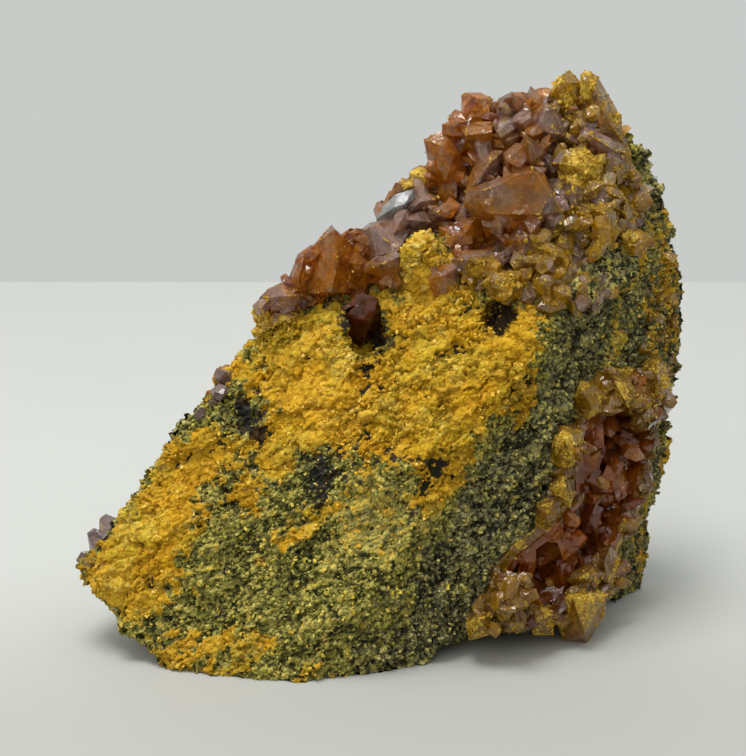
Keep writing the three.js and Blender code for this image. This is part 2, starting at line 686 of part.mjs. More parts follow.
function hollowCrustSolid() {
  const roll = dice(hollow.seed);
  const outward = vector(hollow.outward).normalize();
  const directions = pointsOf(mergeVertices(solidDirections));
  const wallCrystals = [];
  hollowStations().forEach(({ at, radius }) => {
    const angles = [0, 1, 2].map(() => roll() * Math.PI);
    const turn = new THREE.Quaternion().setFromEuler(new THREE.Euler(...angles));
    directions.forEach((direction) => {
      const inward = direction.clone().applyQuaternion(turn).negate();
      const place = vector(at).addScaledVector(inward, hollow.lining - hollow.rooted * radius);
      const nearest = Math.min(...wallCrystals.map((form) => distanceTo(form, place)));
      if (nearest < hollow.crowding * hollow.crystal || inward.dot(outward) < hollow.facing) return;
      wallCrystals.push(sprout(place, inward, roll, hollow.crystal));
    });
  });
  const opened = groove(-hollow.lining, outward.clone().multiplyScalar(hollow.opened).toArray());
  const lining = groove(-seam).subtract(opened);
  const grown = join([lining, crystals(wallCrystals)]);
  return mainBody(grown.intersect(groove(-seam)).intersect(rockSolid(hollow.lip)).subtract(floor));
}

function hollowRimSolid() {
  const ring = groove(hollow.rim).intersect(rockSolid(hollow.lip));
  const inside = groove(0).intersect(rockSolid(hollow.lip + seam));
  return mainBody(join([ring, brokenCrystals(rimCrystals, 0)]).subtract(join([inside, grownRock, floor])));
}

const pitBladeSolid = () => crystal(pitBlade).subtract(grownRock.subtract(ellipsoid(bladePit, -seam)));

// Assembly

const specimen = new THREE.Group();

function piece(name, solid, finish) {
  const mesh = new THREE.Mesh(geometryOf(solid), finish);
  mesh.name = name;
  specimen.add(mesh);
}

piece("matrix", matrixSolid(), yellowRock);
piece("crystal_druse", druseSolid(), amber);
piece("hollow_crystals", hollowCrustSolid(), deepAmber);
piece("hollow_rim_crystals", hollowRimSolid(), dustedAmber);
piece("tip_crystals", mainBody(crystals(tipCrystals).subtract(grownRock)), smokyViolet);
piece("pit_blade", pitBladeSolid(), deepAmber);
piece("pale_shard", brokenCrystal(paleShard, druse.drop).subtract(grownRock), paleSpar);

// The origin goes to the middle of the base.
const extent = new THREE.Box3().setFromObject(specimen);
const middle = extent.getCenter(new THREE.Vector3());
specimen.children.forEach(({ geometry }) => geometry.translate(-middle.x, -middle.y, -extent.min.z));

export default specimen;
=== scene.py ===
import math
import bmesh
import bpy
import numpy as np
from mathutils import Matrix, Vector, noise
from mathutils.bvhtree import BVHTree


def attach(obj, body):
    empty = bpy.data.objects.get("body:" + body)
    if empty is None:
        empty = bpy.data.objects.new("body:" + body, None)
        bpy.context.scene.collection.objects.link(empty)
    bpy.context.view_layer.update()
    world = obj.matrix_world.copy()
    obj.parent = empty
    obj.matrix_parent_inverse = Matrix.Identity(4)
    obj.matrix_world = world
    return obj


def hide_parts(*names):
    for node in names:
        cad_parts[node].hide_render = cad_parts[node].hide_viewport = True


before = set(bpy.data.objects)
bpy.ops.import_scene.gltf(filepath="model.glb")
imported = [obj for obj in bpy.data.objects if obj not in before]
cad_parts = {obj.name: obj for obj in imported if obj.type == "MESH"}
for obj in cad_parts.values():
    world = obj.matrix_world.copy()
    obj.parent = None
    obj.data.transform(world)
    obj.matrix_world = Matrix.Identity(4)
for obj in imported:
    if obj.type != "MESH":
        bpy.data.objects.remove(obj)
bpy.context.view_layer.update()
print("frame loaded")

# Small helpers

mm = 0.001


def tone(*screen):  # a screen colour, 0 to 255, as the linear colour that shaders take
    return tuple(((c / 255 + 0.055) / 1.055) ** 2.4 if c > 10 else c / 3295 for c in screen) + (1,)


def makeActive(piece):
    bpy.ops.object.select_all(action="DESELECT")
    piece.select_set(True)
    bpy.context.view_layer.objects.active = piece


def applyModifier(piece, kind, **settings):
    makeActive(piece)
    modifier = piece.modifiers.new(kind.lower(), kind)
    for setting, value in settings.items():
        setattr(modifier, setting, value)
    bpy.ops.object.modifier_apply(modifier=modifier.name)


def parted(piece, levels):  # the same shape with smaller faces
    applyModifier(piece, "SUBSURF", subdivision_type="SIMPLE", levels=levels, render_levels=levels)


def linked(name, mesh):
    piece = bpy.data.objects.new(name, mesh)
    bpy.context.collection.objects.link(piece)
    return piece


def copyNode(node, name):  # a merged copy of a CAD node's mesh, to be worked on
    piece = linked(name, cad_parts[node].data.copy())
    piece.data.materials.clear()
    makeActive(piece)
    bpy.ops.mesh.customdata_custom_splitnormals_clear()
    bpy.ops.object.mode_set(mode="EDIT")
    bpy.ops.mesh.select_all(action="SELECT")
    bpy.ops.mesh.remove_doubles(threshold=1e-6)
    bpy.ops.object.mode_set(mode="OBJECT")
    return piece


def meshFrom(name, points, faces):  # many small shapes as one mesh, from arrays
    mesh = bpy.data.meshes.new(name)
    mesh.from_pydata(points.tolist(), [], faces.tolist())
    mesh.update()
    return linked(name, mesh)


def vectorsFrom(items, key):  # a mesh's vectors as an array, a row for each
    values = np.empty(len(items) * 3, np.float32)
    items.foreach_get(key, values)
    return values.reshape(-1, 3).astype(float)


def pointsOf(piece):
    return vectorsFrom(piece.data.vertices, "co")


def normalsOf(piece):
    return vectorsFrom(piece.data.vertex_normals, "vector")


def faceNormalsOf(piece):
    return vectorsFrom(piece.data.polygon_normals, "vector")


def faceCentresOf(piece):
    return vectorsFrom(piece.data.polygons, "center")


def moveTo(piece, points):  # nothing goes below the floor
    points[:, 2] = np.maximum(points[:, 2], 0)
    piece.data.vertices.foreach_set("co", points.astype(np.float32).ravel())
    piece.data.update()


def keepValues(piece, name, values, domain="POINT"):  # numbers that a material can read
    attribute = piece.data.attributes.new(name, "FLOAT", domain)
    attribute.data.foreach_set("value", np.asarray(values, np.float32))


def valuesOf(piece, name):
    attribute = piece.data.attributes[name]
    values = np.empty(len(attribute.data), np.float32)
    attribute.data.foreach_get("value", values)
    return values.astype(float)


def unit(vectors):
    return vectors / np.linalg.norm(vectors, axis=1)[:, None]


def noiseAt(points, size, octaves=3):  # soft noise, about -1 to 1, one number for each point
    scaled = (points / size).tolist()
    return np.array([noise.fractal(p, 0.9, 2.1, octaves) for p in scaled])


def smoothStep(values, low, high):
    share = np.clip((values - low) / (high - low), 0, 1)
    return share * share * (3 - 2 * share)


cellMixer = np.array([[127.1, 269.5, 113.5, 71.7], [311.7, 183.3, 271.9, 153.9], [74.7, 246.1, 124.6, 33.1]])


def cellsAt(points, size, seed):  # crumbs that fill space: each point's crumb, place in it and gap beside it
    scaled = points / size
    corner = np.floor(scaled)
    nearest = np.full(len(points), 9.0)
    second = np.full(len(points), 9.0)
    key = np.zeros(len(points))
    place = np.zeros_like(points)
    for step in np.ndindex(3, 3, 3):
        cell = corner + np.array(step) - 1
        rolls = np.sin(cell @ cellMixer + seed) * 43758.5453
        rolls -= np.floor(rolls)
        reach = scaled - cell - rolls[:, :3]
        distance = np.linalg.norm(reach, axis=1)
        closer = distance < nearest
        second = np.where(closer, nearest, np.minimum(second, distance))
        nearest = np.where(closer, distance, nearest)
        key = np.where(closer, rolls[:, 3], key)
        place[closer] = reach[closer]
    return key, place, second - nearest


def ridesOn(piece, material, slot, *nodes):  # what every finished piece gets
    piece.data.materials.append(material)
    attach(piece, "root")
    if nodes:
        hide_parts(*nodes)
    triangles = sum(len(face.vertices) - 2 for face in piece.data.polygons)
    print(piece.name, triangles, "triangles")


# Camera, as the photograph was taken

cameraValues = {
    "target": (-2.05 * mm, -3.26 * mm, 41.6 * mm),
    "distance": 320 * mm,
    "elevation": 16,  # degrees
    "focal": 2000,  # pixels
    "width": 746,
    "height": 756,
    "sensor": 36,  # mm
}

tilt = math.radians(cameraValues["elevation"])
lookAlong = np.array([0, math.cos(tilt), -math.sin(tilt)])
lookUp = np.array([0, math.sin(tilt), math.cos(tilt)])
cameraPlace = np.array(cameraValues["target"]) - cameraValues["distance"] * lookAlong


def makeCamera():
    bpy.ops.object.camera_add(location=cameraPlace, rotation=(math.pi / 2 - tilt, 0, 0))
    camera = bpy.context.object
    camera.data.sensor_fit = "HORIZONTAL"
    camera.data.sensor_width = cameraValues["sensor"]
    camera.data.lens = cameraValues["sensor"] * cameraValues["focal"] / cameraValues["width"]
    camera.data.clip_start = 10 * mm
    bpy.context.scene.camera = camera


def photoPlace(points):  # where points of the frame fall in the photograph, in its pixels
    offset = points - cameraPlace
    depth = offset @ lookAlong
    across = cameraValues["width"] / 2 + cameraValues["focal"] * offset[:, 0] / depth
    down = cameraValues["height"] / 2 - cameraValues["focal"] * (offset @ lookUp) / depth
    return np.stack([across, down], axis=1)


def facing(points, normals):  # how much a surface turns to the camera
    return (normals * unit(cameraPlace - points)).sum(axis=1)


def insideBy(outline, places):  # how many pixels a place is inside an outline, negative outside
    corners = np.array(outline, float)
    nearest = np.full(len(places), 1e9)
    inside = np.zeros(len(places), bool)
    for start, end in zip(corners, np.roll(corners, -1, axis=0)):
        edge = end - start
        share = np.clip(((places - start) @ edge) / (edge @ edge), 0, 1)
        nearest = np.minimum(nearest, np.linalg.norm(places - start - share[:, None] * edge, axis=1))
        crosses = (start[1] > places[:, 1]) != (end[1] > places[:, 1])
        rise = edge[1] if edge[1] else 1e-9
        inside ^= crosses & (places[:, 0] < start[0] + (places[:, 1] - start[1]) * edge[0] / rise)
    return np.where(inside, nearest, -nearest)


# Shader maths as Python expressions


class Wire:  # wraps a socket
    def __init__(self, tree, socket):
        self.tree = tree
        self.socket = socket

    def maths(self, operation, first, second=None):
        sockets = {0: first} if second is None else {0: first, 1: second}
        return addNode(self.tree, "Math", {"operation": operation}, sockets)

    def __add__(self, other):
        return self.maths("ADD", self, other)

    def __sub__(self, other):
        return self.maths("SUBTRACT", self, other)

    def __rsub__(self, other):
        return self.maths("SUBTRACT", other, self)

    def __mul__(self, other):
        return self.maths("MULTIPLY", self, other)

    __radd__ = __add__
    __rmul__ = __mul__


def addNode(tree, kind, settings, sockets, output=0):
    node = tree.nodes.new("ShaderNode" + kind)
    for setting, value in settings.items():
        if setting == "stops":
            ramp = node.color_ramp
            while len(ramp.elements) < len(value):
                ramp.elements.new(1)
            for element, (position, *colour) in zip(ramp.elements, value):
                element.position = position
                element.color = tone(*colour)
        else:
            setattr(node, setting, value)
    for socket, value in sockets.items():
        if isinstance(value, Wire):
            tree.links.new(value.socket, node.inputs[socket])
        else:
            node.inputs[socket].default_value = value
    return Wire(tree, node.outputs[output]) if node.outputs else None


halfway = (0.5, 0.5, 0.5)  # the middle of a noise's colours


class Finish:  # one material and the ways to add to it
    def __init__(self, name):
        self.material = bpy.data.materials.new(name)
        self.material.use_nodes = True
        self.tree = self.material.node_tree
        self.tree.nodes.clear()
        self.place = self.node("TexCoord", {}, {}, "Object")

    def node(self, kind, settings, sockets, output=0):
        return addNode(self.tree, kind, settings, sockets, output)

    def attribute(self, name):
        return self.node("Attribute", {"attribute_name": name}, {}, "Fac")

    def grain(self, size, detail=3, place=None):  # noise with lumps of this size
        sockets = {"Vector": place or self.place, "Scale": 1 / size, "Detail": detail, "Roughness": 0.6}
        return self.node("TexNoise", {}, sockets)

    def chips(self, size):  # small flat breaks, each tilted its own way, as heights
        place = self.grainy(size)
        cell = {"Vector": place, "Scale": 1 / size}
        middle = self.node("TexVoronoi", {}, cell, "Position")
        tilt = self.node("TexVoronoi", {}, cell, "Color")
        offset = self.vectors("SUBTRACT", place, middle)
        return self.vectors("DOT_PRODUCT", offset, self.vectors("SUBTRACT", tilt, halfway), "Value")

    def cracks(self, size):  # 1 on thin lines between broken cells
        cell = {"Vector": self.grainy(size), "Scale": 1 / size}
        edge = self.node("TexVoronoi", {"feature": "DISTANCE_TO_EDGE"}, cell, "Distance")
        return self.step(edge, 0.05, 0)

    def grainy(self, size):  # the surface's place, shifted a little so that breaks aren't straight
        sockets = {"Vector": self.place, "Scale": 1 / size, "Detail": 2}
        shift = self.node("TexNoise", {}, sockets, "Color")
        shift = self.vectors("SUBTRACT", shift, halfway)
        return self.vectors("ADD", self.place, self.vectors("MULTIPLY", shift, (size, size, size)))

    def vectors(self, operation, first, second, output="Vector"):
        return self.node("VectorMath", {"operation": operation}, {0: first, 1: second}, output)

    def stretched(self, turn, stretch):  # the surface's place, turned and stretched along foliation
        sockets = {"Vector": self.place, "Rotation": turn, "Scale": stretch}
        return self.node("Mapping", {}, sockets)

    def ramp(self, value, stops):
        return self.node("ValToRGB", {"stops": stops}, {"Fac": value}, "Color")

    def step(self, value, low, high):  # 0 under low, 1 over high
        sockets = {"Value": value, "From Min": low, "From Max": high}
        return self.node("MapRange", {"interpolation_type": "SMOOTHSTEP"}, sockets)

    def mix(self, share, first, second):  # colours
        return self.node("Mix", {"data_type": "RGBA"}, {0: share, 6: first, 7: second}, 2)

    def bump(self, height, strength, distance):
        return self.node("Bump", {}, {"Height": height, "Strength": strength, "Distance": distance})

    def surface(self, shader, volume=None):
        sockets = {"Surface": shader} | ({"Volume": volume} if volume else {})
        self.node("OutputMaterial", {}, sockets)
        return self.material


# Stage: a pale floor, its back edge where the photograph's is, and soft light from above

stageValues = {
    "floorBack": 240 * mm,
    "floorSide": 900 * mm,
    "floorFront": -900 * mm,
    "floorTones": (tone(196, 198, 193), tone(190, 192, 187)),
    "frontShadeTone": tone(173, 173, 168),
    "fades": (-50 * mm, 30 * mm),  # the depths between which the painted shade at the floor's front gives way
    # the room's tones from below, where the wall is seen, over eye height to straight above
    "roomTones": [
        (0.49, 200, 203, 200), (0.52, 140, 142, 140), (0.66, 156, 158, 156),
        (0.8, 226, 229, 226), (1, 246, 248, 246),
    ],
    "aim": (0, 0, 40 * mm),  # where both lamps point
    "overhead": {"place": (-0.15, -0.12, 0.8), "size": 0.36, "power": 4.7},
    "side": {"place": (-0.35, -0.75, 0.52), "size": 0.5, "power": 1.8},
}


def makeStage():
    values = stageValues
    middle = (values["floorBack"] + values["floorFront"]) / 2
    bpy.ops.mesh.primitive_plane_add(size=1, location=(0, middle, 0))
    floor = bpy.context.object
    floor.name = "floor"
    floor.scale = (2 * values["floorSide"], values["floorBack"] - values["floorFront"], 1)
    bpy.ops.object.transform_apply(location=True, rotation=True, scale=True)
    finish = Finish("pale_floor")
    back = finish.mix(finish.grain(60 * mm, 4), *values["floorTones"])
    depth = finish.node("SeparateXYZ", {}, {"Vector": finish.place}, "Y")
    # painted shade: the floor is darker towards its front
    colour = finish.mix(finish.step(depth, *values["fades"]), values["frontShadeTone"], back)
    sockets = {"Base Color": colour, "Roughness": 0.55}
    floor.data.materials.append(finish.surface(finish.node("BsdfPrincipled", {}, sockets)))

    world = bpy.data.worlds.new("pale_room")
    world.use_nodes = True
    tree = world.node_tree
    ways = addNode(tree, "TexCoord", {}, {})
    height = addNode(tree, "SeparateXYZ", {}, {0: ways}, "Z") * 0.5 + 0.5
    room = addNode(tree, "ValToRGB", {"stops": values["roomTones"]}, {"Fac": height})
    tree.links.new(room.socket, tree.nodes["Background"].inputs["Color"])
    bpy.context.scene.world = world
    bpy.context.scene.view_settings.view_transform = "Standard"

    for name in ("overhead", "side"):
        light = values[name]
        bpy.ops.object.light_add(type="AREA", location=light["place"])
        lamp = bpy.context.object
        lamp.name = name
        aim = Vector(values["aim"]) - Vector(light["place"])
        lamp.rotation_euler = aim.to_track_quat("-Z", "Y").to_euler()
        lamp.data.size = light["size"]
        lamp.data.energy = light["power"]


makeCamera()
makeStage()
print("camera and stage set")

# Host rock: where each kind of rock lies, as outlines in the photograph's pixels

zones = {
    "ochreFace": [
        (237, 338), (262, 300), (338, 300), (392, 290), (388, 232), (432, 210), (462, 256), (462, 290),
        (520, 302), (550, 308), (545, 335), (530, 400), (482, 438), (462, 480), (440, 515), (415, 505),
        (385, 466), (340, 455), (303, 458), (276, 478), (240, 512), (232, 500), (262, 440), (264, 390),
        (250, 352),
    ],
    "ochreBand": [
        (158, 452), (196, 424), (226, 432), (258, 440), (256, 458), (230, 466), (220, 474), (208, 493),
        (196, 520), (187, 558), (172, 604), (128, 626), (95, 597), (76, 566), (118, 518), (148, 482),
    ],
    "edgeKnobs": [(650, 226), (670, 222), (694, 300), (690, 362), (664, 356), (656, 300)],
    "edgeFlakes": [(642, 466), (666, 466), (660, 610), (640, 612), (636, 540)],
    "veinEdge": [  # everything to its right is dark rock
        (660, 130), (612, 200), (560, 300), (548, 335), (532, 402), (484, 440), (464, 482), (440, 525),
        (410, 580), (360, 640), (320, 700), (760, 720), (760, 130),
    ],
    "blackPatch": [(318, 446), (340, 458), (342, 492), (322, 506), (302, 498), (300, 470)],
    "blackCrack": [(384, 452), (412, 452), (450, 460), (448, 470), (410, 468), (388, 464)],
    "blackEdge": [(232, 396), (248, 396), (262, 414), (258, 434), (242, 436), (232, 418)],
    # painted shade: the pit by the blade and the pit in the rim are painted black
    "bladePit": [(340, 300), (372, 296), (378, 322), (396, 340), (384, 352), (354, 346), (342, 330)],
    "rimPit": [(482, 300), (514, 298), (518, 318), (502, 332), (486, 322)],
    "mixedRock": [(604, 226), (650, 200), (690, 300), (680, 400), (640, 372), (600, 372), (584, 330)],
    "mixedEdge": [(224, 350), (258, 350), (262, 436), (236, 446), (198, 440), (196, 424)],
    "mixedFoot": [(112, 600), (190, 566), (232, 560), (330, 640), (344, 690), (210, 690), (140, 660)],
    "paleGreen": [(330, 476), (452, 472), (440, 530), (400, 560), (330, 552)],
    # painted light: the slab's tone is lightened to make up for the light it misses
    "paintedLightSlab": [(390, 240), (432, 212), (456, 250), (452, 294), (398, 300)],
    "hangingFoot": [(420, 640), (470, 620), (610, 590), (640, 620), (650, 690), (430, 700)],
}
zoneValues = {
    "ragged": 18,  # pixels that a border wanders
    "raggedSize": 6 * mm,
    "crumbs": ((2.8 * mm, 14), (1.2 * mm, 22)),  # sizes of crumbs that a border follows, and pixels
    "soft": 11,  # pixels over which a border fades
    "patchSize": 7 * mm,  # of stray patches inside each kind
    "drawnOut": 0.6,  # how much they are drawn out along the foliation
    "frontFacing": (0.02, 0.2),  # the outlines hold where a surface turns to the camera this much
    # shares of ochre, of rock of both kinds and of lighter tone in each outline: paler rock in paleGreen,
    # painted light on the slab
    "ochre": {"ochreFace": 1, "ochreBand": 1, "edgeKnobs": 0.55, "edgeFlakes": 0.5, "paleGreen": 0.4},
    "mixed": {"mixedRock": 0.4, "mixedFoot": 1, "mixedEdge": 1},
    "pale": {"paleGreen": 1, "paintedLightSlab": 1.4},
    # how much the borders of black rock, and of the pits painted black as their shade, wander
    "black": {"blackPatch": 0.6, "blackCrack": 0.4, "blackEdge": 0.8, "bladePit": 0.3, "rimPit": 0.3},
    # where noise brings in stray ochre and takes dark rock away
    "strayOchre": (0.3, 0.8),
    "strayGreen": (0.3, 0.45),
    # patches on the sides that the photograph doesn't show
    "sideSize": 16 * mm,
    "sideOchre": (0.05, 0.3),
    "sideGreen": (-0.25, 0),
}


def zoneWeights(points, normals):  # shares of ochre and green, where rock is black (pits painted black as their shade too), where its tone is lighter (paler rock, and painted light on the slab) and where it is in front
    places = photoPlace(points)
    wander = zoneValues["ragged"] * noiseAt(points, zoneValues["raggedSize"], 5)
    for size, pixels in zoneValues["crumbs"]:
        crumbKey = cellsAt(points, size, 7)[0]
        wander += pixels * (crumbKey - 0.5)
    front = smoothStep(facing(points, normals), *zoneValues["frontFacing"])

    def inZone(name, wandering=1.0):
        inside = insideBy(zones[name], places) + wandering * wander
        return smoothStep(inside, -zoneValues["soft"], zoneValues["soft"])

    def inAny(kind):
        return np.max([share * inZone(name) for name, share in zoneValues[kind].items()], axis=0)

    ochre, mixed, pale, dark = inAny("ochre"), inAny("mixed"), inAny("pale"), inZone("veinEdge")
    black = np.max([inZone(name, wandering) for name, wandering in zoneValues["black"].items()], axis=0)
    streaky = drawnOut(points, zoneValues["drawnOut"]) + 0.5
    patches = noiseAt(streaky, zoneValues["patchSize"], 5) + 0.5 * (crumbKey - 0.5)
    stray = smoothStep(patches + 0.3 * mixed, *zoneValues["strayOchre"])
    ochre = np.maximum(ochre, stray * (1 - 0.8 * dark * (1 - mixed)))
    dark = dark - smoothStep(patches, *zoneValues["strayGreen"]) * 0.8
    dark = np.clip(dark - 0.5 * mixed * smoothStep(patches, -0.1, 0.1), 0, 1)
    green = (1 - ochre) * (1 - dark)
    patchy = noiseAt(points + 0.37, zoneValues["sideSize"], 4)
    sideOchre = smoothStep(patchy, *zoneValues["sideOchre"])
    ochre = front * ochre + (1 - front) * sideOchre
    green = front * green + (1 - front) * smoothStep(patchy, *zoneValues["sideGreen"]) * (1 - sideOchre)
    return ochre, green, black * front, pale * front, front


rockValues = {
    "voxel": 0.7 * mm,
    "lumps": {"size": 4.5 * mm, "height": 0.45 * mm},
    "ridges": {"size": 3.2 * mm, "height": 0.55 * mm, "drawnOut": 0.75},  # along the foliation
    "foot": {"height": 4.5 * mm, "back": 6 * mm},  # how high and far the rock hangs over at its front
    "base": 0.5 * mm,  # faces that look down below this height stay flat
    "overlap": 0.06,  # how far past the edge, as a turn to the camera, the sides reach under the front
    "finer": {"rock_front": 2, "rock_sides": 1},  # times that the faces are parted
    "most": 190000,  # triangles in one piece
    "under": 0.9 * mm,  # how far the plain body lies under the relief
    "proud": 0.25 * mm,  # how far the ochre stands out
    "sunk": 0.2 * mm,  # how far the black parts lie back
    "shadeBy": (0.3, 0.55, 0.6, 0.35),  # how much each layer of crumbs changes the tone
    "gapShadeBy": (0.5, 0.8, 0.7, 0.5),  # and how much it paints shade into the gaps
    "calm": {"size": 6 * mm, "least": 0.5, "below": 1.3 * mm},  # patches of ochre where small crumbs are low
    "wander": {"size": 1.8 * mm, "by": 0.35},  # how crooked the crumbs are
    "gapWidth": 0.22,  # of the gaps between crumbs, as a share of their size
    "foliation": np.array([0.82, 0.1, 0.56]),  # direction of the streaks
    # crumb size, stretch along the foliation, and heights of steps, tilts and gaps as shares of the size
    "ochre": [
        (4.4 * mm, 2.6, 0.16, 0.2, 0.04), (0.8 * mm, 1.8, 0.25, 0.36, 0.25),
        (0.4 * mm, 1.3, 0.28, 0.38, 0.32), (2 * mm, 1.8, 0.22, 0.3, 0.1),
    ],
    "green": [
        (3 * mm, 2.4, 0.16, 0.2, 0.06), (0.9 * mm, 1.8, 0.26, 0.36, 0.25), (0.42 * mm, 1.4, 0.3, 0.4, 0.25),
    ],
    "dark": [
        (2.6 * mm, 1.8, 0.25, 0.3, 0.1), (0.8 * mm, 1.3, 0.34, 0.45, 0.3), (0.4 * mm, 1.1, 0.36, 0.45, 0.25),
    ],
    "sides": [
        (4 * mm, 1.5, 0.2, 0.25, 0.08), (1.5 * mm, 1.3, 0.3, 0.4, 0.2), (0.8 * mm, 1.2, 0.3, 0.4, 0.25),
    ],
}


def drawnOut(points, share):  # places in which shapes come out longer along the foliation
    streak = rockValues["foliation"] / np.linalg.norm(rockValues["foliation"])
    return points - np.outer(points @ streak, streak) * share


def crumbRelief(points, kind):  # broken crumbs of several sizes: heights, tones and painted shade in the gaps
    height, shade, deep = np.zeros((3, len(points)))
    crooked, calm = rockValues["wander"], rockValues["calm"]
    wander = np.stack([noiseAt(points + 0.1 * axis, crooked["size"], 2) for axis in (1, 2, 3)], axis=1)
    rough = smoothStep(noiseAt(points + 0.8, calm["size"], 3), -0.25, 0.25)
    rough = calm["least"] + (1 - calm["least"]) * rough
    for number, (size, stretch, rise, lean, gap) in enumerate(rockValues[kind]):
        places = drawnOut(points + crooked["by"] * size * wander, 1 - 1 / stretch)
        key, inside, edge = cellsAt(places, size, 3 * number)
        turn = key * 251
        ways = np.stack([np.cos(turn), np.sin(1.7 * turn), np.sin(turn)], axis=1)
        slope = (inside * ways).sum(axis=1)
        crack = 1 - smoothStep(edge, 0, rockValues["gapWidth"])
        amount = rough if kind == "ochre" and size < calm["below"] else 1
        height += amount * size * (rise * (key - 0.5) + lean * slope - gap * crack)
        shade += amount * (key - 0.5) * rockValues["shadeBy"][number]
        deep = np.maximum(deep, amount * crack * rockValues["gapShadeBy"][number])
    return height, np.clip(shade + 0.5, 0, 1), deep


rockKeys = ("ochre", "green", "black", "pale", "shade", "deep")  # what the rock's material reads
rockTones = {
    "lemon": [
        (0, 104, 80, 6), (0.2, 172, 140, 22), (0.45, 202, 168, 44), (0.75, 218, 188, 68), (1, 238, 214, 124),
    ],
    "ochre": [
        (0, 110, 74, 4), (0.2, 182, 134, 14), (0.45, 212, 162, 32), (0.75, 224, 178, 54), (1, 240, 208, 110),
    ],
    "green": [
        (0, 18, 19, 8), (0.22, 44, 44, 20), (0.38, 108, 104, 44), (0.55, 158, 150, 68),
        (0.72, 194, 182, 94), (0.88, 222, 188, 64), (1, 226, 218, 150),
    ],
    "dark": [
        (0, 12, 12, 8), (0.26, 44, 43, 26), (0.44, 104, 99, 62), (0.62, 154, 148, 104),
        (0.8, 192, 176, 80), (1, 230, 222, 160),
    ],
}


def rockFinish():
    finish = Finish("host_rock")
    ochre, green, black, pale, shade, deep = (finish.attribute(key) for key in rockKeys)
    along = finish.stretched((0, math.radians(-35), 0), (1, 2.4, 2.8))
    fine = finish.grain(0.5 * mm, 3)
    streaks = finish.grain(3 * mm, 5, along)
    mottle = finish.grain(1.2 * mm, 3)
    # lighter tone where the outlines say: paler rock, and painted light on the slab
    varied = shade * 0.75 + fine * 0.3 + streaks * 0.4 + pale * 0.13 - 0.22
    darkTone = finish.ramp(varied, rockTones["dark"])
    greenTone = finish.ramp(varied, rockTones["green"])
    lemon = finish.step(finish.grain(9 * mm, 4), 0.42, 0.62)
    ochreTone = finish.ramp(varied, rockTones["ochre"])
    ochreTone = finish.mix(lemon, ochreTone, finish.ramp(varied, rockTones["lemon"]))
    # painted shade: dark specks on the ochre stand in for pinholes that the shape doesn't have
    pinholeShade = finish.step(finish.grain(0.7 * mm, 4), 0.6, 0.68)
    ochreTone = finish.mix(pinholeShade * 0.55, ochreTone, tone(100, 68, 8))
    stray = (mottle - 0.5) * 0.7 + (shade - 0.5) * 0.5
    colour = finish.mix(finish.step(green + stray, 0.4, 0.6), darkTone, greenTone)
    colour = finish.mix(finish.step(ochre + stray, 0.4, 0.6), colour, ochreTone)
    blackShare = finish.step(black + stray * 1.5, 0.5, 0.7)
    blackTone = finish.mix(shade, tone(18, 18, 16), tone(64, 63, 56))
    colour = finish.mix(blackShare, colour, blackTone)
    # painted shade: the gaps between crumbs darkened, near-black in dark rock and dark brown in ochre
    gapShadeTone = finish.mix(ochre, tone(16, 16, 8), tone(84, 52, 2))
    colour = finish.mix(deep * 0.8, colour, gapShadeTone)
    sockets = {
        "Base Color": colour,
        "Roughness": finish.step(ochre, 0.2, 0.8) * 0.35 + 0.45,
        "Specular IOR Level": 0.12,
        "Normal": finish.bump(fine + mottle, 0.5, 0.15 * mm),
    }
    return finish.surface(finish.node("BsdfPrincipled", {}, sockets))


rockMaterial = rockFinish()


def makeBody():  # the whole block with its lumps
    body = copyNode("matrix", "rock_body")
    applyModifier(body, "REMESH", mode="VOXEL", voxel_size=rockValues["voxel"], use_smooth_shade=True)
    points, normals = pointsOf(body), normalsOf(body)
    lumps, ridges, foot = rockValues["lumps"], rockValues["ridges"], rockValues["foot"]
    heights = lumps["height"] * noiseAt(points, lumps["size"], 3)
    heights += ridges["height"] * noiseAt(drawnOut(points, ridges["drawnOut"]), ridges["size"], 2)
    points += normals * np.where(onBase(points, normals), 0, heights)[:, None]
    hangs = smoothStep(insideBy(zones["hangingFoot"], photoPlace(points)), 0, 20)
    hangs *= normals[:, 1] < 0.2  # not on the back
    points[:, 1] += foot["back"] * hangs * smoothStep(foot["height"] - points[:, 2], 0, foot["height"])
    moveTo(body, points)
    return body


def onBase(points, normals):
    return (points[:, 2] < rockValues["base"]) & (normals[:, 2] < -0.5)


def cutOut(whole, name, wanted):  # some four-cornered faces as a mesh of their own, and the points it uses
    corners = np.empty(len(whole.data.loops), np.int32)
    whole.data.loops.foreach_get("vertex_index", corners)
    used, corners = np.unique(corners.reshape(-1, 4)[wanted], return_inverse=True)
    return meshFrom(name, pointsOf(whole)[used], corners.reshape(-1, 4)), used


def makeRelief(name, wanted):  # a part of the block's surface in finer faces, with its crumbs
    part, _ = cutOut(body, name, wanted)
    parted(part, rockValues["finer"][name])
    points, normals = pointsOf(part), normalsOf(part)
    ochre, green, black, pale, front = zoneWeights(points, normals)
    dark = 1 - ochre - green
    shares = {"ochre": front * ochre, "green": front * green, "dark": front * dark, "sides": 1 - front}
    height, shade, deep = np.zeros((3, len(points)))
    for kind, share in shares.items():
        here = share > 0.01
        for total, values in zip((height, shade, deep), crumbRelief(points[here], kind)):
            total[here] += share[here] * values
    height += rockValues["proud"] * ochre - rockValues["sunk"] * black
    moveTo(part, points + normals * np.where(onBase(points, normals), 0, height)[:, None])
    for key, values in zip(rockKeys, (ochre, green, black, pale, shade, deep)):
        keepValues(part, key, values)
    keepValues(part, "dark", dark)
    return part


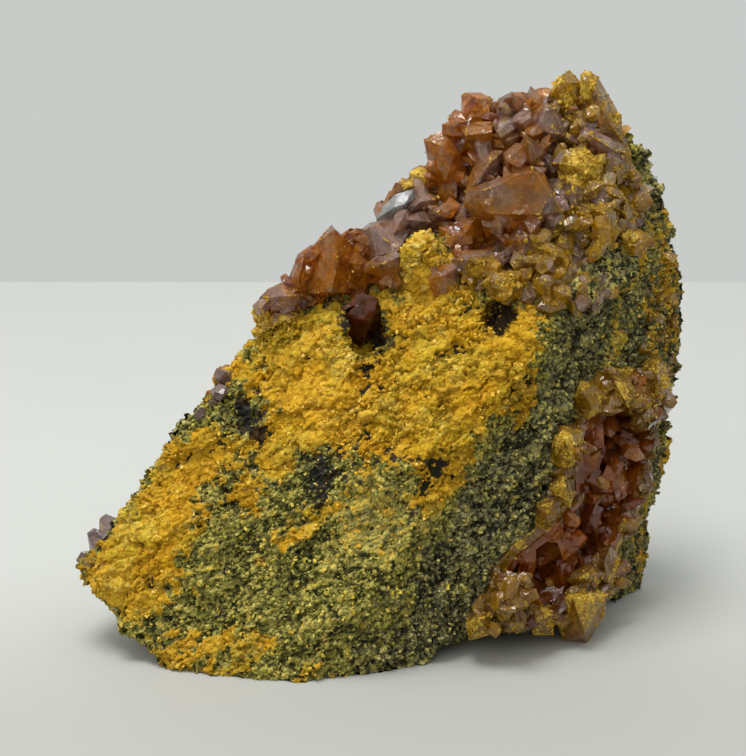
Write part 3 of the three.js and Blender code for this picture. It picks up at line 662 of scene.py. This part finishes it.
def inStrips(part):  # the part as pieces side by side, none of them too large
    across = faceCentresOf(part)[:, 0]
    count = math.ceil(2 * len(across) / rockValues["most"])
    bounds = np.quantile(across, np.linspace(0, 1, count + 1))
    strips = np.clip(np.searchsorted(bounds, across) - 1, 0, count - 1)
    for number in range(count):
        strip, used = cutOut(part, f"{part.name}_{number + 1}", strips == number)
        strip.data.shade_smooth()
        for key in rockKeys:
            keepValues(strip, key, valuesOf(part, key)[used])
        ridesOn(strip, rockMaterial, "yellow_rock")


def finishBody():
    points, normals = pointsOf(body), normalsOf(body)
    moveTo(body, points - normals * rockValues["under"])
    for key in rockKeys:
        keepValues(body, key, np.zeros(len(points)))
    ridesOn(body, rockMaterial, "yellow_rock", "matrix")


body = makeBody()
bodyFacing = facing(faceCentresOf(body), faceNormalsOf(body))
rockFront = makeRelief("rock_front", bodyFacing > 0)
rockSides = makeRelief("rock_sides", bodyFacing < rockValues["overlap"])
finishBody()
for part in (rockFront, rockSides):
    inStrips(part)
print("rock made")

# Crumbs, flakes and grit on the rock: small broken blocks, joined in one mesh for each kind

crumbValues = {
    "ochre_crumbs": {"count": 6000, "size": (0.2 * mm, 0.7 * mm), "flat": 0.5, "sunk": 0.35, "seed": 3},
    "green_flakes": {"count": 9000, "size": (0.2 * mm, 0.75 * mm), "flat": 0.45, "sunk": 0.3, "seed": 4},
    "dark_grit": {"count": 7000, "size": (0.2 * mm, 0.75 * mm), "flat": 0.6, "sunk": 0.3, "seed": 5},
    "side_flakes": {"count": 5000, "size": (0.3 * mm, 1 * mm), "flat": 0.5, "sunk": 0.3, "seed": 6},
    "side_crumbs": {"count": 4000, "size": (0.3 * mm, 0.9 * mm), "flat": 0.5, "sunk": 0.3, "seed": 7},
}
overFloor = {"block": 0.02 * mm, "crystal": 0.05 * mm}  # how far such pieces stay above the floor
blockCorners = np.array([[x, y, z] for x in (-1, 1) for y in (-1, 1) for z in (-1, 1)], float)
blockFaces = np.array([
    [0, 1, 3], [0, 3, 2], [4, 6, 7], [4, 7, 5], [0, 4, 5], [0, 5, 1],
    [2, 3, 7], [2, 7, 6], [0, 2, 6], [0, 6, 4], [1, 5, 7], [1, 7, 3],
])
perBlock = len(blockCorners)


def surfaceSites(piece, weights, count, roll):  # random places on a surface, more where weights are high
    mesh = piece.data
    mesh.calc_loop_triangles()
    corners = np.empty(len(mesh.loop_triangles) * 3, np.int32)
    mesh.loop_triangles.foreach_get("vertices", corners)
    corners = corners.reshape(-1, 3)
    points = pointsOf(piece)[corners]
    cross = np.cross(points[:, 1] - points[:, 0], points[:, 2] - points[:, 0])
    area = np.linalg.norm(cross, axis=1) + 1e-12
    chance = area * weights[corners].mean(axis=1)
    chosen = roll.choice(len(area), count, p=chance / chance.sum())
    share = roll.dirichlet((1, 1, 1), count)
    places = (points[chosen] * share[:, :, None]).sum(axis=1)
    return places, cross[chosen] / area[chosen][:, None]


def frameAround(axes, roll):  # a random turn around each axis, as three unit vectors
    first = unit(np.cross(axes, roll.normal(size=axes.shape)))
    return np.stack([first, np.cross(axes, first), axes], axis=1)


def crumbFinish(name, tones):
    finish = Finish(name)
    shade = finish.attribute("shade")
    mottle = finish.grain(0.4 * mm, 3)
    colour = finish.ramp(shade * 0.8 + mottle * 0.4 - 0.1, tones)
    sockets = {
        "Base Color": colour,
        "Roughness": 0.8 - shade * 0.25,
        "Specular IOR Level": 0.25,
        "Normal": finish.bump(mottle, 0.4, 0.1 * mm),
    }
    return finish.surface(finish.node("BsdfPrincipled", {}, sockets))


def crumbBlocks(name, places, normals, values, roll):
    count = len(places)
    turns = frameAround(unit(normals + 0.4 * roll.normal(size=normals.shape)), roll)
    least, most = values["size"]
    size = least + (most - least) * roll.random(count) ** 2.5
    width = 0.5 + 0.5 * roll.random(count)
    scale = size[:, None] * np.stack([np.ones(count), width, np.full(count, values["flat"])], axis=1)
    corners = blockCorners * 0.5 * (0.55 + 0.45 * roll.random((count, perBlock, 1)))
    corners = corners + 0.12 * roll.normal(size=(count, perBlock, 3))
    points = places[:, None, :] + np.einsum("nij,njk->nik", corners * scale[:, None, :], turns)
    points += (normals * (0.5 - values["sunk"]) * size[:, None] * values["flat"])[:, None, :]
    points[:, :, 2] = np.maximum(points[:, :, 2], overFloor["block"])
    faces = blockFaces[None] + perBlock * np.arange(count)[:, None, None]
    crumbs = meshFrom(name, points.reshape(-1, 3), faces.reshape(-1, 3))
    keepValues(crumbs, "shade", np.repeat(roll.random(count), perBlock))
    return crumbs


def strew(name, ground, weights, values, material, slot):  # blocks over a surface
    roll = np.random.default_rng(values["seed"])
    blocks = crumbBlocks(name, *surfaceSites(ground, weights, values["count"], roll), values, roll)
    ridesOn(blocks, material, slot)


def makeCrumbs(name, ground, zone):
    weights = valuesOf(ground, zone) * (1 - 0.9 * valuesOf(ground, "black")) + 1e-6
    strew(name, ground, weights, crumbValues[name], crumbFinish(name, rockTones[zone]), "yellow_rock")


makeCrumbs("ochre_crumbs", rockFront, "ochre")
makeCrumbs("green_flakes", rockFront, "green")
makeCrumbs("dark_grit", rockFront, "dark")
makeCrumbs("side_flakes", rockSides, "green")
makeCrumbs("side_crumbs", rockSides, "ochre")
for part in (rockFront, rockSides):
    bpy.data.objects.remove(part)
print("crumbs strewn")

# Crystals


# What a kind of crystal has if its own values say nothing else
crystalDefaults = {"worn": 0.16, "dusted": (0.9, 0), "index": 1.6, "chipped": 0.5, "cracked": 0.3}


def crystalFinish(name, ownValues):
    values = crystalDefaults | ownValues
    finish = Finish(name)
    cloud = finish.grain(4 * mm, 3)
    veil = finish.grain(1.4 * mm, 4)
    facet = finish.attribute("facet")
    inner = finish.grain(2.2 * mm, 5, finish.stretched((0.5, 0.3, 0.8), (1, 2.5, 1)))
    varied = (facet - 0.5) * 0.22 + (cloud - 0.5) * 0.65
    colour = finish.ramp(finish.attribute("tint") + varied, values["tones"])
    colour = finish.mix(finish.step(inner, 0.4, 0.7) * values["clouded"], colour, values["cloudTone"])
    # crack lines inside the crystals, drawn in the pale sky tone: the cracks themselves, with a painted
    # reflection in them
    cracked = finish.cracks(3 * mm) * finish.step(cloud, 0.45, 0.6) * values["cracked"]
    colour = finish.mix(cracked, colour, values["skyTone"])
    # painted reflection: faces that look up are mixed toward the pale sky tone as a sheen
    colour = finish.mix(finish.attribute("sky") * values["sheen"], colour, values["skyTone"])
    streak = finish.grain(0.7 * mm, 3, finish.stretched((0.3, 0.5, 0.2), (1, 1, 0.15)))
    chipped = finish.chips(2.4 * mm) * values["chipped"] + (streak + veil * 0.8) * (0.1 * mm)
    clearSockets = {
        "Base Color": colour,
        "Roughness": values["roughness"] + veil * values["worn"],
        "Transmission Weight": values["clear"],
        "IOR": values["index"],
        "Normal": finish.bump(chipped, 1, 1),
    }
    shader = finish.node("BsdfPrincipled", {}, clearSockets)
    speck = finish.grain(0.45 * mm, 2)
    dustTone = finish.ramp(
        finish.grain(0.8 * mm, 4),
        [(0.3, 122, 92, 12), (0.5, 184, 148, 34), (0.7, 216, 188, 84)],
    )
    dustSockets = {"Base Color": dustTone, "Roughness": 0.75, "Normal": finish.bump(speck, 0.5, 0.2 * mm)}
    dusty = finish.node("BsdfPrincipled", {}, dustSockets)
    patchy, byFace = values["dusted"]  # in patches, and on some faces more than on others
    coat = finish.attribute("dust") + (veil - 0.5) * patchy + (facet - 0.5) * byFace
    share = finish.step(coat + (speck - 0.5) * 0.8, 0.44, 0.6)
    shader = finish.node("MixShader", {}, {0: share, 1: shader, 2: dusty})
    absorbs = {"Color": values["absorbs"], "Density": values["density"]}
    return finish.surface(shader, finish.node("VolumeAbsorption", {}, absorbs))


def keepFacets(piece):  # a random number for each flat face, and how much it looks up, which sets its painted sky sheen
    normals, centres = faceNormalsOf(piece), faceCentresOf(piece)
    level = np.round((normals * centres).sum(axis=1) / (0.3 * mm))
    mixed = np.sin(np.round(normals * 12) @ (12.9, 78.2, 37.7) + level * 4.1) * 43758.5453
    keepValues(piece, "facet", mixed - np.floor(mixed), "FACE")
    keepValues(piece, "sky", smoothStep(normals[:, 2], 0.1, 0.75), "FACE")


def treeOf(piece):  # for measuring distances to a shape
    faces = [list(face.vertices) for face in piece.data.polygons]
    return BVHTree.FromPolygons(pointsOf(piece).tolist(), faces)


def blockedShare(piece, places, normals, reach, roll, rays=14):  # how closed in each place is
    tree = treeOf(piece)
    shares = []
    for start, normal in zip(places + normals * 0.05 * mm, normals):
        ways = unit(unit(roll.normal(size=(rays, 3))) + 0.9 * normal)
        hits = [tree.ray_cast(Vector(start), Vector(way), reach)[0] is not None for way in ways]
        shares.append(np.mean(hits))
    return np.array(shares)


# A small crystal: a flattened six-sided prism with a chisel tip
sproutRing = np.array([[-1, 0], [-0.5, 1], [0.5, 1], [1, 0], [0.5, -1], [-0.5, -1]], float)
perSprout = 14  # corners: six below, six at the shoulder and two at the tip
sproutDefaults = {"lean": 0.5, "lift": 0}  # how far it leans at random, and which way all lean
sproutFaces = np.array(
    [[i, i + 6, (i + 1) % 6 + 6] for i in range(6)]
    + [[i, (i + 1) % 6 + 6, (i + 1) % 6] for i in range(6)]
    + [[8, 7, 12], [8, 12, 13], [11, 10, 13], [11, 13, 12], [7, 6, 12], [6, 11, 12], [9, 8, 13], [10, 9, 13]]
    + [[0, 1, 2], [0, 2, 3], [0, 3, 4], [0, 4, 5]]
)


def smallCrystals(name, places, normals, values, roll, finish, looks=None):  # many of them as one mesh
    values = sproutDefaults | values
    count = len(places)
    axes = unit(normals + values["lean"] * roll.normal(size=places.shape) + values["lift"])
    least, most = values["size"]
    size = least + (most - least) * roll.random(count) ** 1.6
    half = size * (0.28 + 0.2 * roll.random(count))
    thick = half * (0.5 + 0.4 * roll.random(count))
    shoulder = 0.45 + 0.35 * roll.random(count)
    ridge = 0.1 + 0.5 * roll.random(count)
    slant = 0.5 * (roll.random(count) - 0.5)
    corners = np.zeros((count, perSprout, 3))
    corners[:, :6, :2] = sproutRing * 0.9
    corners[:, 6:12, :2] = sproutRing
    corners[:, 6:12, 2] = shoulder[:, None] + 0.12 * roll.normal(size=(count, 6))
    corners[:, 12, 0] = slant - ridge
    corners[:, 13, 0] = slant + ridge
    corners[:, 12:, 2] = 1
    corners[:, :, 0] *= half[:, None]
    corners[:, :, 1] *= thick[:, None]
    corners[:, :, 2] = (corners[:, :, 2] - values["sunk"]) * size[:, None]
    points = places[:, None, :] + np.einsum("nij,njk->nik", corners, frameAround(axes, roll))
    points[:, :, 2] = np.maximum(points[:, :, 2], overFloor["crystal"])
    faces = sproutFaces[None] + perSprout * np.arange(count)[:, None, None]
    small = meshFrom(name, points.reshape(-1, 3), faces.reshape(-1, 3))
    keepFacets(small)
    tint, dust = looks or (values["tint"], values["dust"])
    tint = tint + values["varied"] * roll.normal(size=count)
    keepLooks(small, np.repeat(tint, perSprout), np.repeat(np.full(count, dust), perSprout))
    ridesOn(small, finish, values["slot"])


def keepLooks(piece, tint, dust):
    keepValues(piece, "tint", tint)
    keepValues(piece, "dust", dust)


# Where the crest crystals are orange, violet, yellow and crusted with dust: middles and radii in pixels
crestTints = {
    "orange": [
        (332, 262, 40), (358, 272, 22), (446, 160, 34), (477, 138, 22), (478, 112, 20), (517, 228, 26),
        (492, 228, 20), (298, 278, 18), (455, 240, 20), (528, 100, 14),
    ],
    "violet": [
        (278, 298, 26), (385, 238, 34), (421, 205, 18), (484, 170, 20), (500, 106, 20), (508, 124, 16),
        (547, 122, 20), (414, 222, 20), (598, 142, 16),
    ],
    "yellow": [
        (601, 214, 16), (600, 240, 16), (628, 240, 15), (550, 256, 22), (478, 268, 14), (505, 282, 14),
        (616, 166, 10), (512, 292, 18), (536, 290, 16), (556, 288, 14), (470, 284, 10), (582, 216, 10),
        (565, 98, 12), (560, 84, 14), (590, 84, 12), (620, 122, 8), (556, 172, 8),
    ],
    "crusted": [
        (580, 168, 22), (590, 84, 10), (412, 184, 12), (568, 100, 9), (628, 236, 9), (480, 270, 9),
        (558, 80, 9), (618, 120, 6), (604, 240, 7), (262, 326, 14), (284, 328, 16), (252, 314, 8),
        (508, 284, 8), (534, 282, 6),
    ],
}
dustOutline = [
    (548, 92), (566, 60), (600, 60), (660, 150), (660, 300), (480, 330), (440, 300), (452, 268),
    (540, 236), (560, 180),
]
bedRock = [(590, 262), (608, 256), (642, 250), (652, 300), (600, 330), (566, 322), (574, 292), (582, 268)]
druseValues = {
    # along the tint: deep red-brown, orange, amber-brown, violet-brown, violet-grey, olive and yellow
    "tones": [
        (0, 166, 84, 14), (0.18, 248, 156, 12), (0.38, 224, 154, 58),
        (0.56, 224, 172, 140), (0.7, 226, 196, 188), (0.86, 212, 168, 50),
        (1, 246, 192, 14),
    ],
    "skyTone": tone(220, 192, 184), "sheen": 0.12, "roughness": 0.02, "worn": 0.14, "clear": 0.72,
    "index": 1.55, "cracked": 0.4,
    "cloudTone": tone(112, 50, 10), "clouded": 0.6, "absorbs": tone(248, 186, 92), "density": 66,
    "between": {
        "candidates": 6400, "count": 1700, "size": (1 * mm, 4.8 * mm), "sunk": 0.3, "closed": (0.42, 0.85),
        "reach": 4 * mm, "bed": 1.7 * mm, "slot": "amber",
        "lift": (0, -0.15, 0.3), "varied": 0.13, "seed": 21,
        # flat parts of the bed that are covered with them too
        "bare": [
            (516, 246), (560, 236), (640, 228), (640, 252), (588, 260), (572, 312), (470, 300), (452, 276),
            (480, 258),
        ],
        # the yellow slab's front and the notch between the horns, which they leave clear
        "clear": [(388, 236), (432, 208), (454, 250), (452, 294), (396, 300)],
        "notch": [(569, 50), (590, 50), (584, 90), (573, 90)],
    },
    # dust on the crystals, and grit over bedRock
    "grains": {"count": 2600, "size": (0.2 * mm, 0.9 * mm), "flat": 0.6, "sunk": 0.3, "seed": 22},
    "grit": {"count": 3000, "size": (0.35 * mm, 1.4 * mm), "flat": 0.6, "sunk": 0.35, "seed": 24},
    "edgeGrains": {
        "density": 4 / mm, "sharper": 0.5, "least": 0.34, "size": (0.1 * mm, 0.35 * mm), "flat": 0.7,
        "sunk": 0.4, "seed": 23,
    },
}


def nearAny(circles, places, soft=9):
    reach = [radius - np.hypot(places[:, 0] - x, places[:, 1] - y) for x, y, radius in circles]
    return smoothStep(np.max(reach, axis=0), -soft, soft)


def crestLooks(points):  # the tint and the dust of crest crystals at these points
    places = photoPlace(points)
    orange, violet = nearAny(crestTints["orange"], places), nearAny(crestTints["violet"], places)
    inside = smoothStep(insideBy(dustOutline, places) + 16 * noiseAt(points, 4 * mm), -16, 16)
    tint = 0.34 - 0.14 * orange + 0.26 * violet * (1 - orange) + 0.05 * noiseAt(points, 5 * mm)
    tint += (0.88 - tint) * inside * (1 - 0.7 * violet)
    tint += (1 - tint) * nearAny(crestTints["yellow"], places, 6)
    crusted = nearAny(crestTints["crusted"], places, 6)
    return tint, np.maximum(0.2 + 0.16 * inside, 0.62 * crusted)


def strewnOnEdges(name, node, values):  # dusty grains along the sharp edges of crystals
    roll = np.random.default_rng(values["seed"])
    solid = copyNode(node, name)
    edges = bmesh.new()
    edges.from_mesh(solid.data)
    places, normals = [], []
    for edge in edges.edges:
        if edge.is_manifold and edge.is_convex and edge.calc_face_angle() > values["sharper"]:
            start, end = (np.array(corner.co) for corner in edge.verts)
            out = np.array(edge.link_faces[0].normal + edge.link_faces[1].normal)
            for _ in range(roll.poisson(values["density"] * edge.calc_length())):
                places.append(start + (end - start) * roll.random())
                normals.append(out / np.linalg.norm(out))
    edges.free()
    bpy.data.objects.remove(solid)
    places, normals = np.array(places), np.array(normals)
    dust = crestLooks(places)[1] + 0.5 * noiseAt(places, 3 * mm)
    dusted = dust > values["least"]
    grains = crumbBlocks(name, places[dusted], normals[dusted], values, roll)
    ridesOn(grains, dustMaterial, "dusted_amber")


def makeDruse():
    druse = copyNode("crystal_druse", "crest_crystals")
    keepFacets(druse)
    parted(druse, 2)
    points = pointsOf(druse)
    tint, dust = crestLooks(points)
    keepLooks(druse, tint, dust)
    amber = crystalFinish("amber", druseValues)
    ridesOn(druse, amber, "amber", "crystal_druse")

    values = druseValues["between"]  # small crystals in the gaps between the large ones
    roll = np.random.default_rng(values["seed"])
    places, normals = surfaceSites(druse, np.ones(len(points)), values["candidates"], roll)
    closed = blockedShare(druse, places, normals, values["reach"], roll)
    plainRock = copyNode("matrix", "rock_under_bed")
    rockTree = treeOf(plainRock)
    bpy.data.objects.remove(plainRock)
    overRock = np.array([rockTree.find_nearest(Vector(place))[3] for place in places])
    least, most = values["closed"]
    inGap = (closed > least) & (closed < most) | (overRock < values["bed"])
    pixels, front = photoPlace(places), facing(places, normals)
    inGap |= (insideBy(values["bare"], pixels) > 0) & (front > 0.1)
    leftClear = np.maximum(insideBy(values["clear"], pixels), insideBy(bedRock, pixels))
    inGap &= ~((front > 0) & (leftClear > 0))
    inGap &= insideBy(values["notch"], pixels) < 0
    chosen = np.flatnonzero(inGap)[: values["count"]]
    places, normals = places[chosen], normals[chosen]
    smallCrystals("crest_small_crystals", places, normals, values, roll, amber, crestLooks(places))

    onRock = smoothStep(insideBy(bedRock, photoPlace(points)) + 8 * noiseAt(points, 3 * mm), -3, 3)
    onRock *= facing(points, normalsOf(druse)) > 0
    gritMaterial = crumbFinish("bed_grit", rockTones["dark"])
    strew("bed_grit", druse, onRock + 1e-9, druseValues["grit"], gritMaterial, "yellow_rock")

    share = smoothStep(valuesOf(druse, "dust") + 0.3 * noiseAt(points, 2.5 * mm), 0.4, 0.8) + 1e-6
    strew("crest_dust", druse, share, druseValues["grains"], dustMaterial, "dusted_amber")
    strewnOnEdges("crest_edge_dust", "crystal_druse", druseValues["edgeGrains"])


dustTones = [(0, 120, 86, 16), (0.35, 174, 132, 30), (0.7, 204, 164, 52), (1, 226, 198, 104)]
dustMaterial = crumbFinish("yellow_dust", dustTones)
makeDruse()

hollowValues = {
    "slot": "deep_amber", "tint": 0.3, "dust": -0.2,
    "tones": [(0, 132, 56, 6), (0.3, 200, 104, 10), (0.6, 232, 146, 24), (1, 240, 184, 64)],
    "skyTone": tone(180, 124, 84), "sheen": 0.1, "roughness": 0.01, "worn": 0.06,
    "clear": 0.64, "cracked": 0.2,
    "cloudTone": tone(96, 38, 4), "clouded": 0.35, "absorbs": tone(248, 170, 66), "density": 70,
    "between": {
        "count": 130, "size": (2 * mm, 5.4 * mm), "sunk": 0.4,
        "slot": "deep_amber", "tint": 0.3, "dust": -0.2, "varied": 0.2, "seed": 31,
    },
}
rimValues = {
    "slot": "dusted_amber", "tint": 0.5, "dust": 0.42,
    "tones": [(0, 130, 68, 10), (0.35, 176, 124, 24), (0.65, 208, 160, 18), (1, 182, 148, 130)],
    "skyTone": tone(190, 164, 146), "sheen": 0.14, "roughness": 0.03, "worn": 0.14, "dusted": (0.8, 0.25),
    "clear": 0.66, "index": 1.55,
    "cloudTone": tone(120, 68, 12), "clouded": 0.5, "absorbs": tone(246, 186, 80), "density": 80,
    "grains": {"count": 3200, "size": (0.15 * mm, 0.55 * mm), "flat": 0.6, "sunk": 0.35, "seed": 32},
    "between": {
        "candidates": 2600, "count": 420, "size": (1.2 * mm, 3.8 * mm), "sunk": 0.3, "closed": 0.3,
        "reach": 4 * mm, "slot": "dusted_amber", "tint": 0.45, "dust": 0.3, "varied": 0.25, "seed": 33,
        # plain parts that are covered with small crystals too
        "bare": [
            [(476, 600), (560, 520), (578, 536), (552, 570), (504, 620), (478, 616)],
            [(570, 446), (594, 440), (594, 494), (570, 506)],
            [(636, 396), (656, 396), (646, 560), (630, 606), (612, 600), (628, 520)],
        ],
    },
}
tipValues = {
    "slot": "smoky_violet", "tint": 0.5, "dust": 0.25,
    "tones": [(0, 104, 76, 66), (0.5, 146, 120, 110), (1, 176, 156, 144)],
    "skyTone": tone(170, 156, 156), "sheen": 0.3, "roughness": 0.08, "clear": 0.5, "chipped": 0.4,
    "cloudTone": tone(96, 72, 64), "clouded": 0.5, "absorbs": tone(230, 190, 170), "density": 150,
}
bladeValues = {
    "slot": "deep_amber", "tint": 0.4, "dust": -0.2,
    "tones": [(0, 70, 24, 6), (0.5, 122, 52, 14), (1, 150, 80, 28)],
    "skyTone": tone(120, 70, 50), "sheen": 0.06, "roughness": 0.16, "clear": 0.45, "cracked": 0.2,
    "cloudTone": tone(44, 16, 8), "clouded": 0.7, "absorbs": tone(236, 120, 50), "density": 300,
}
shardValues = {
    "slot": "pale_spar", "tint": 0.5, "dust": -0.2,
    "tones": [(0, 190, 194, 192), (0.5, 216, 220, 218), (1, 240, 242, 240)],
    "skyTone": tone(230, 234, 234), "sheen": 0.4, "roughness": 0.05, "clear": 0.6, "index": 1.5,
    "cloudTone": tone(150, 156, 158), "clouded": 0.5, "absorbs": tone(240, 240, 236), "density": 40,
}


def makeCopy(node, name, material, values):  # a CAD node's shape as crystal, and its material
    piece = copyNode(node, name)
    keepFacets(piece)
    parted(piece, 2)
    points = pointsOf(piece)
    tint = values["tint"] + 0.25 * noiseAt(points, 5 * mm)
    keepLooks(piece, tint, values["dust"] + 0.35 * noiseAt(points + 0.2, 3.5 * mm))
    finish = crystalFinish(material, values)
    ridesOn(piece, finish, values["slot"], node)
    return piece, finish


def makeHollow():
    lining, finish = makeCopy("hollow_crystals", "hollow_lining", "deep_amber", hollowValues)
    values = hollowValues["between"]
    roll = np.random.default_rng(values["seed"])
    toFront = smoothStep(facing(pointsOf(lining), normalsOf(lining)), 0.1, 0.4)
    places, normals = surfaceSites(lining, toFront + 1e-6, values["count"], roll)
    smallCrystals("hollow_small_crystals", places, normals, values, roll, finish)


def makeRim():
    rim, finish = makeCopy("hollow_rim_crystals", "rim_crystals", "dusted_amber", rimValues)
    share = smoothStep(valuesOf(rim, "dust") + 0.3 * noiseAt(pointsOf(rim), 2.5 * mm), 0.45, 0.75) + 1e-6
    strew("rim_dust", rim, share, rimValues["grains"], dustMaterial, "dusted_amber")
    values = rimValues["between"]
    roll = np.random.default_rng(values["seed"])
    places, normals = surfaceSites(rim, np.ones(len(rim.data.vertices)), values["candidates"], roll)
    closed = blockedShare(rim, places, normals, values["reach"], roll)
    pixels = photoPlace(places)
    bare = np.max([insideBy(outline, pixels) for outline in values["bare"]], axis=0) > 0
    chosen = np.flatnonzero((closed > values["closed"]) | bare)[: values["count"]]
    places, normals = places[chosen], normals[chosen]
    smallCrystals("rim_small_crystals", places, normals, values, roll, finish)
    return finish


# Crystals that stand along the outline, where the photograph shows them, in its pixels
edgeValues = {
    "smoky": {
        "at": [(104, 542), (112, 534), (120, 524), (204, 416), (214, 404), (223, 392), (229, 381)],
        "tint": 0.45, "dust": 0.3, "size": (2.4 * mm, 5 * mm), "sunk": 0.35,
        "lean": 0.4, "varied": 0.08, "seed": 41, "slot": "smoky_violet",
    },
    "golden": {
        "at": [
            (92, 566), (98, 574), (104, 566), (166, 472), (186, 444), (256, 334), (264, 324), (272, 312),
            (282, 308), (664, 446), (666, 456), (662, 464), (660, 438), (655, 318), (660, 330), (664, 344),
            (668, 358), (668, 372), (668, 390), (664, 404), (666, 418), (660, 372), (656, 356), (652, 340),
            (650, 300), (666, 300), (662, 282), (660, 246), (648, 236), (664, 262), (672, 320), (646, 318),
            (656, 380), (650, 362), (658, 300), (640, 350),
        ],
        "tint": 0.5, "dust": 0.4, "size": (2 * mm, 4.4 * mm), "sunk": 0.4,
        "lean": 0.4, "varied": 0.08, "seed": 42, "slot": "dusted_amber",
    },
}


def underPixels(tree, pixels):  # where a shape lies under these pixels, and how it is turned there
    places, normals = [], []
    for across, down in pixels:
        aim = lookAlong * cameraValues["focal"] + lookUp * (cameraValues["height"] / 2 - down)
        aim[0] += across - cameraValues["width"] / 2
        place, normal = tree.ray_cast(Vector(cameraPlace), Vector(aim))[:2]
        if place:
            places.append(place)
            normals.append(normal)
    return np.array(places), np.array(normals)


def makeEdgeCrystals(finishes):
    tree = treeOf(body)
    for name, values in edgeValues.items():
        roll = np.random.default_rng(values["seed"])
        places, normals = underPixels(tree, values["at"])
        smallCrystals(f"{name}_edge_crystals", places, normals, values, roll, finishes[name])


makeHollow()
rimMaterial = makeRim()
_, tipMaterial = makeCopy("tip_crystals", "tip_crystal_group", "smoky_violet", tipValues)
makeEdgeCrystals({"smoky": tipMaterial, "golden": rimMaterial})
makeCopy("pit_blade", "blade_crystal", "red_blade", bladeValues)
makeCopy("pale_shard", "shard_crystal", "pale_spar", shardValues)
print("crystals made")
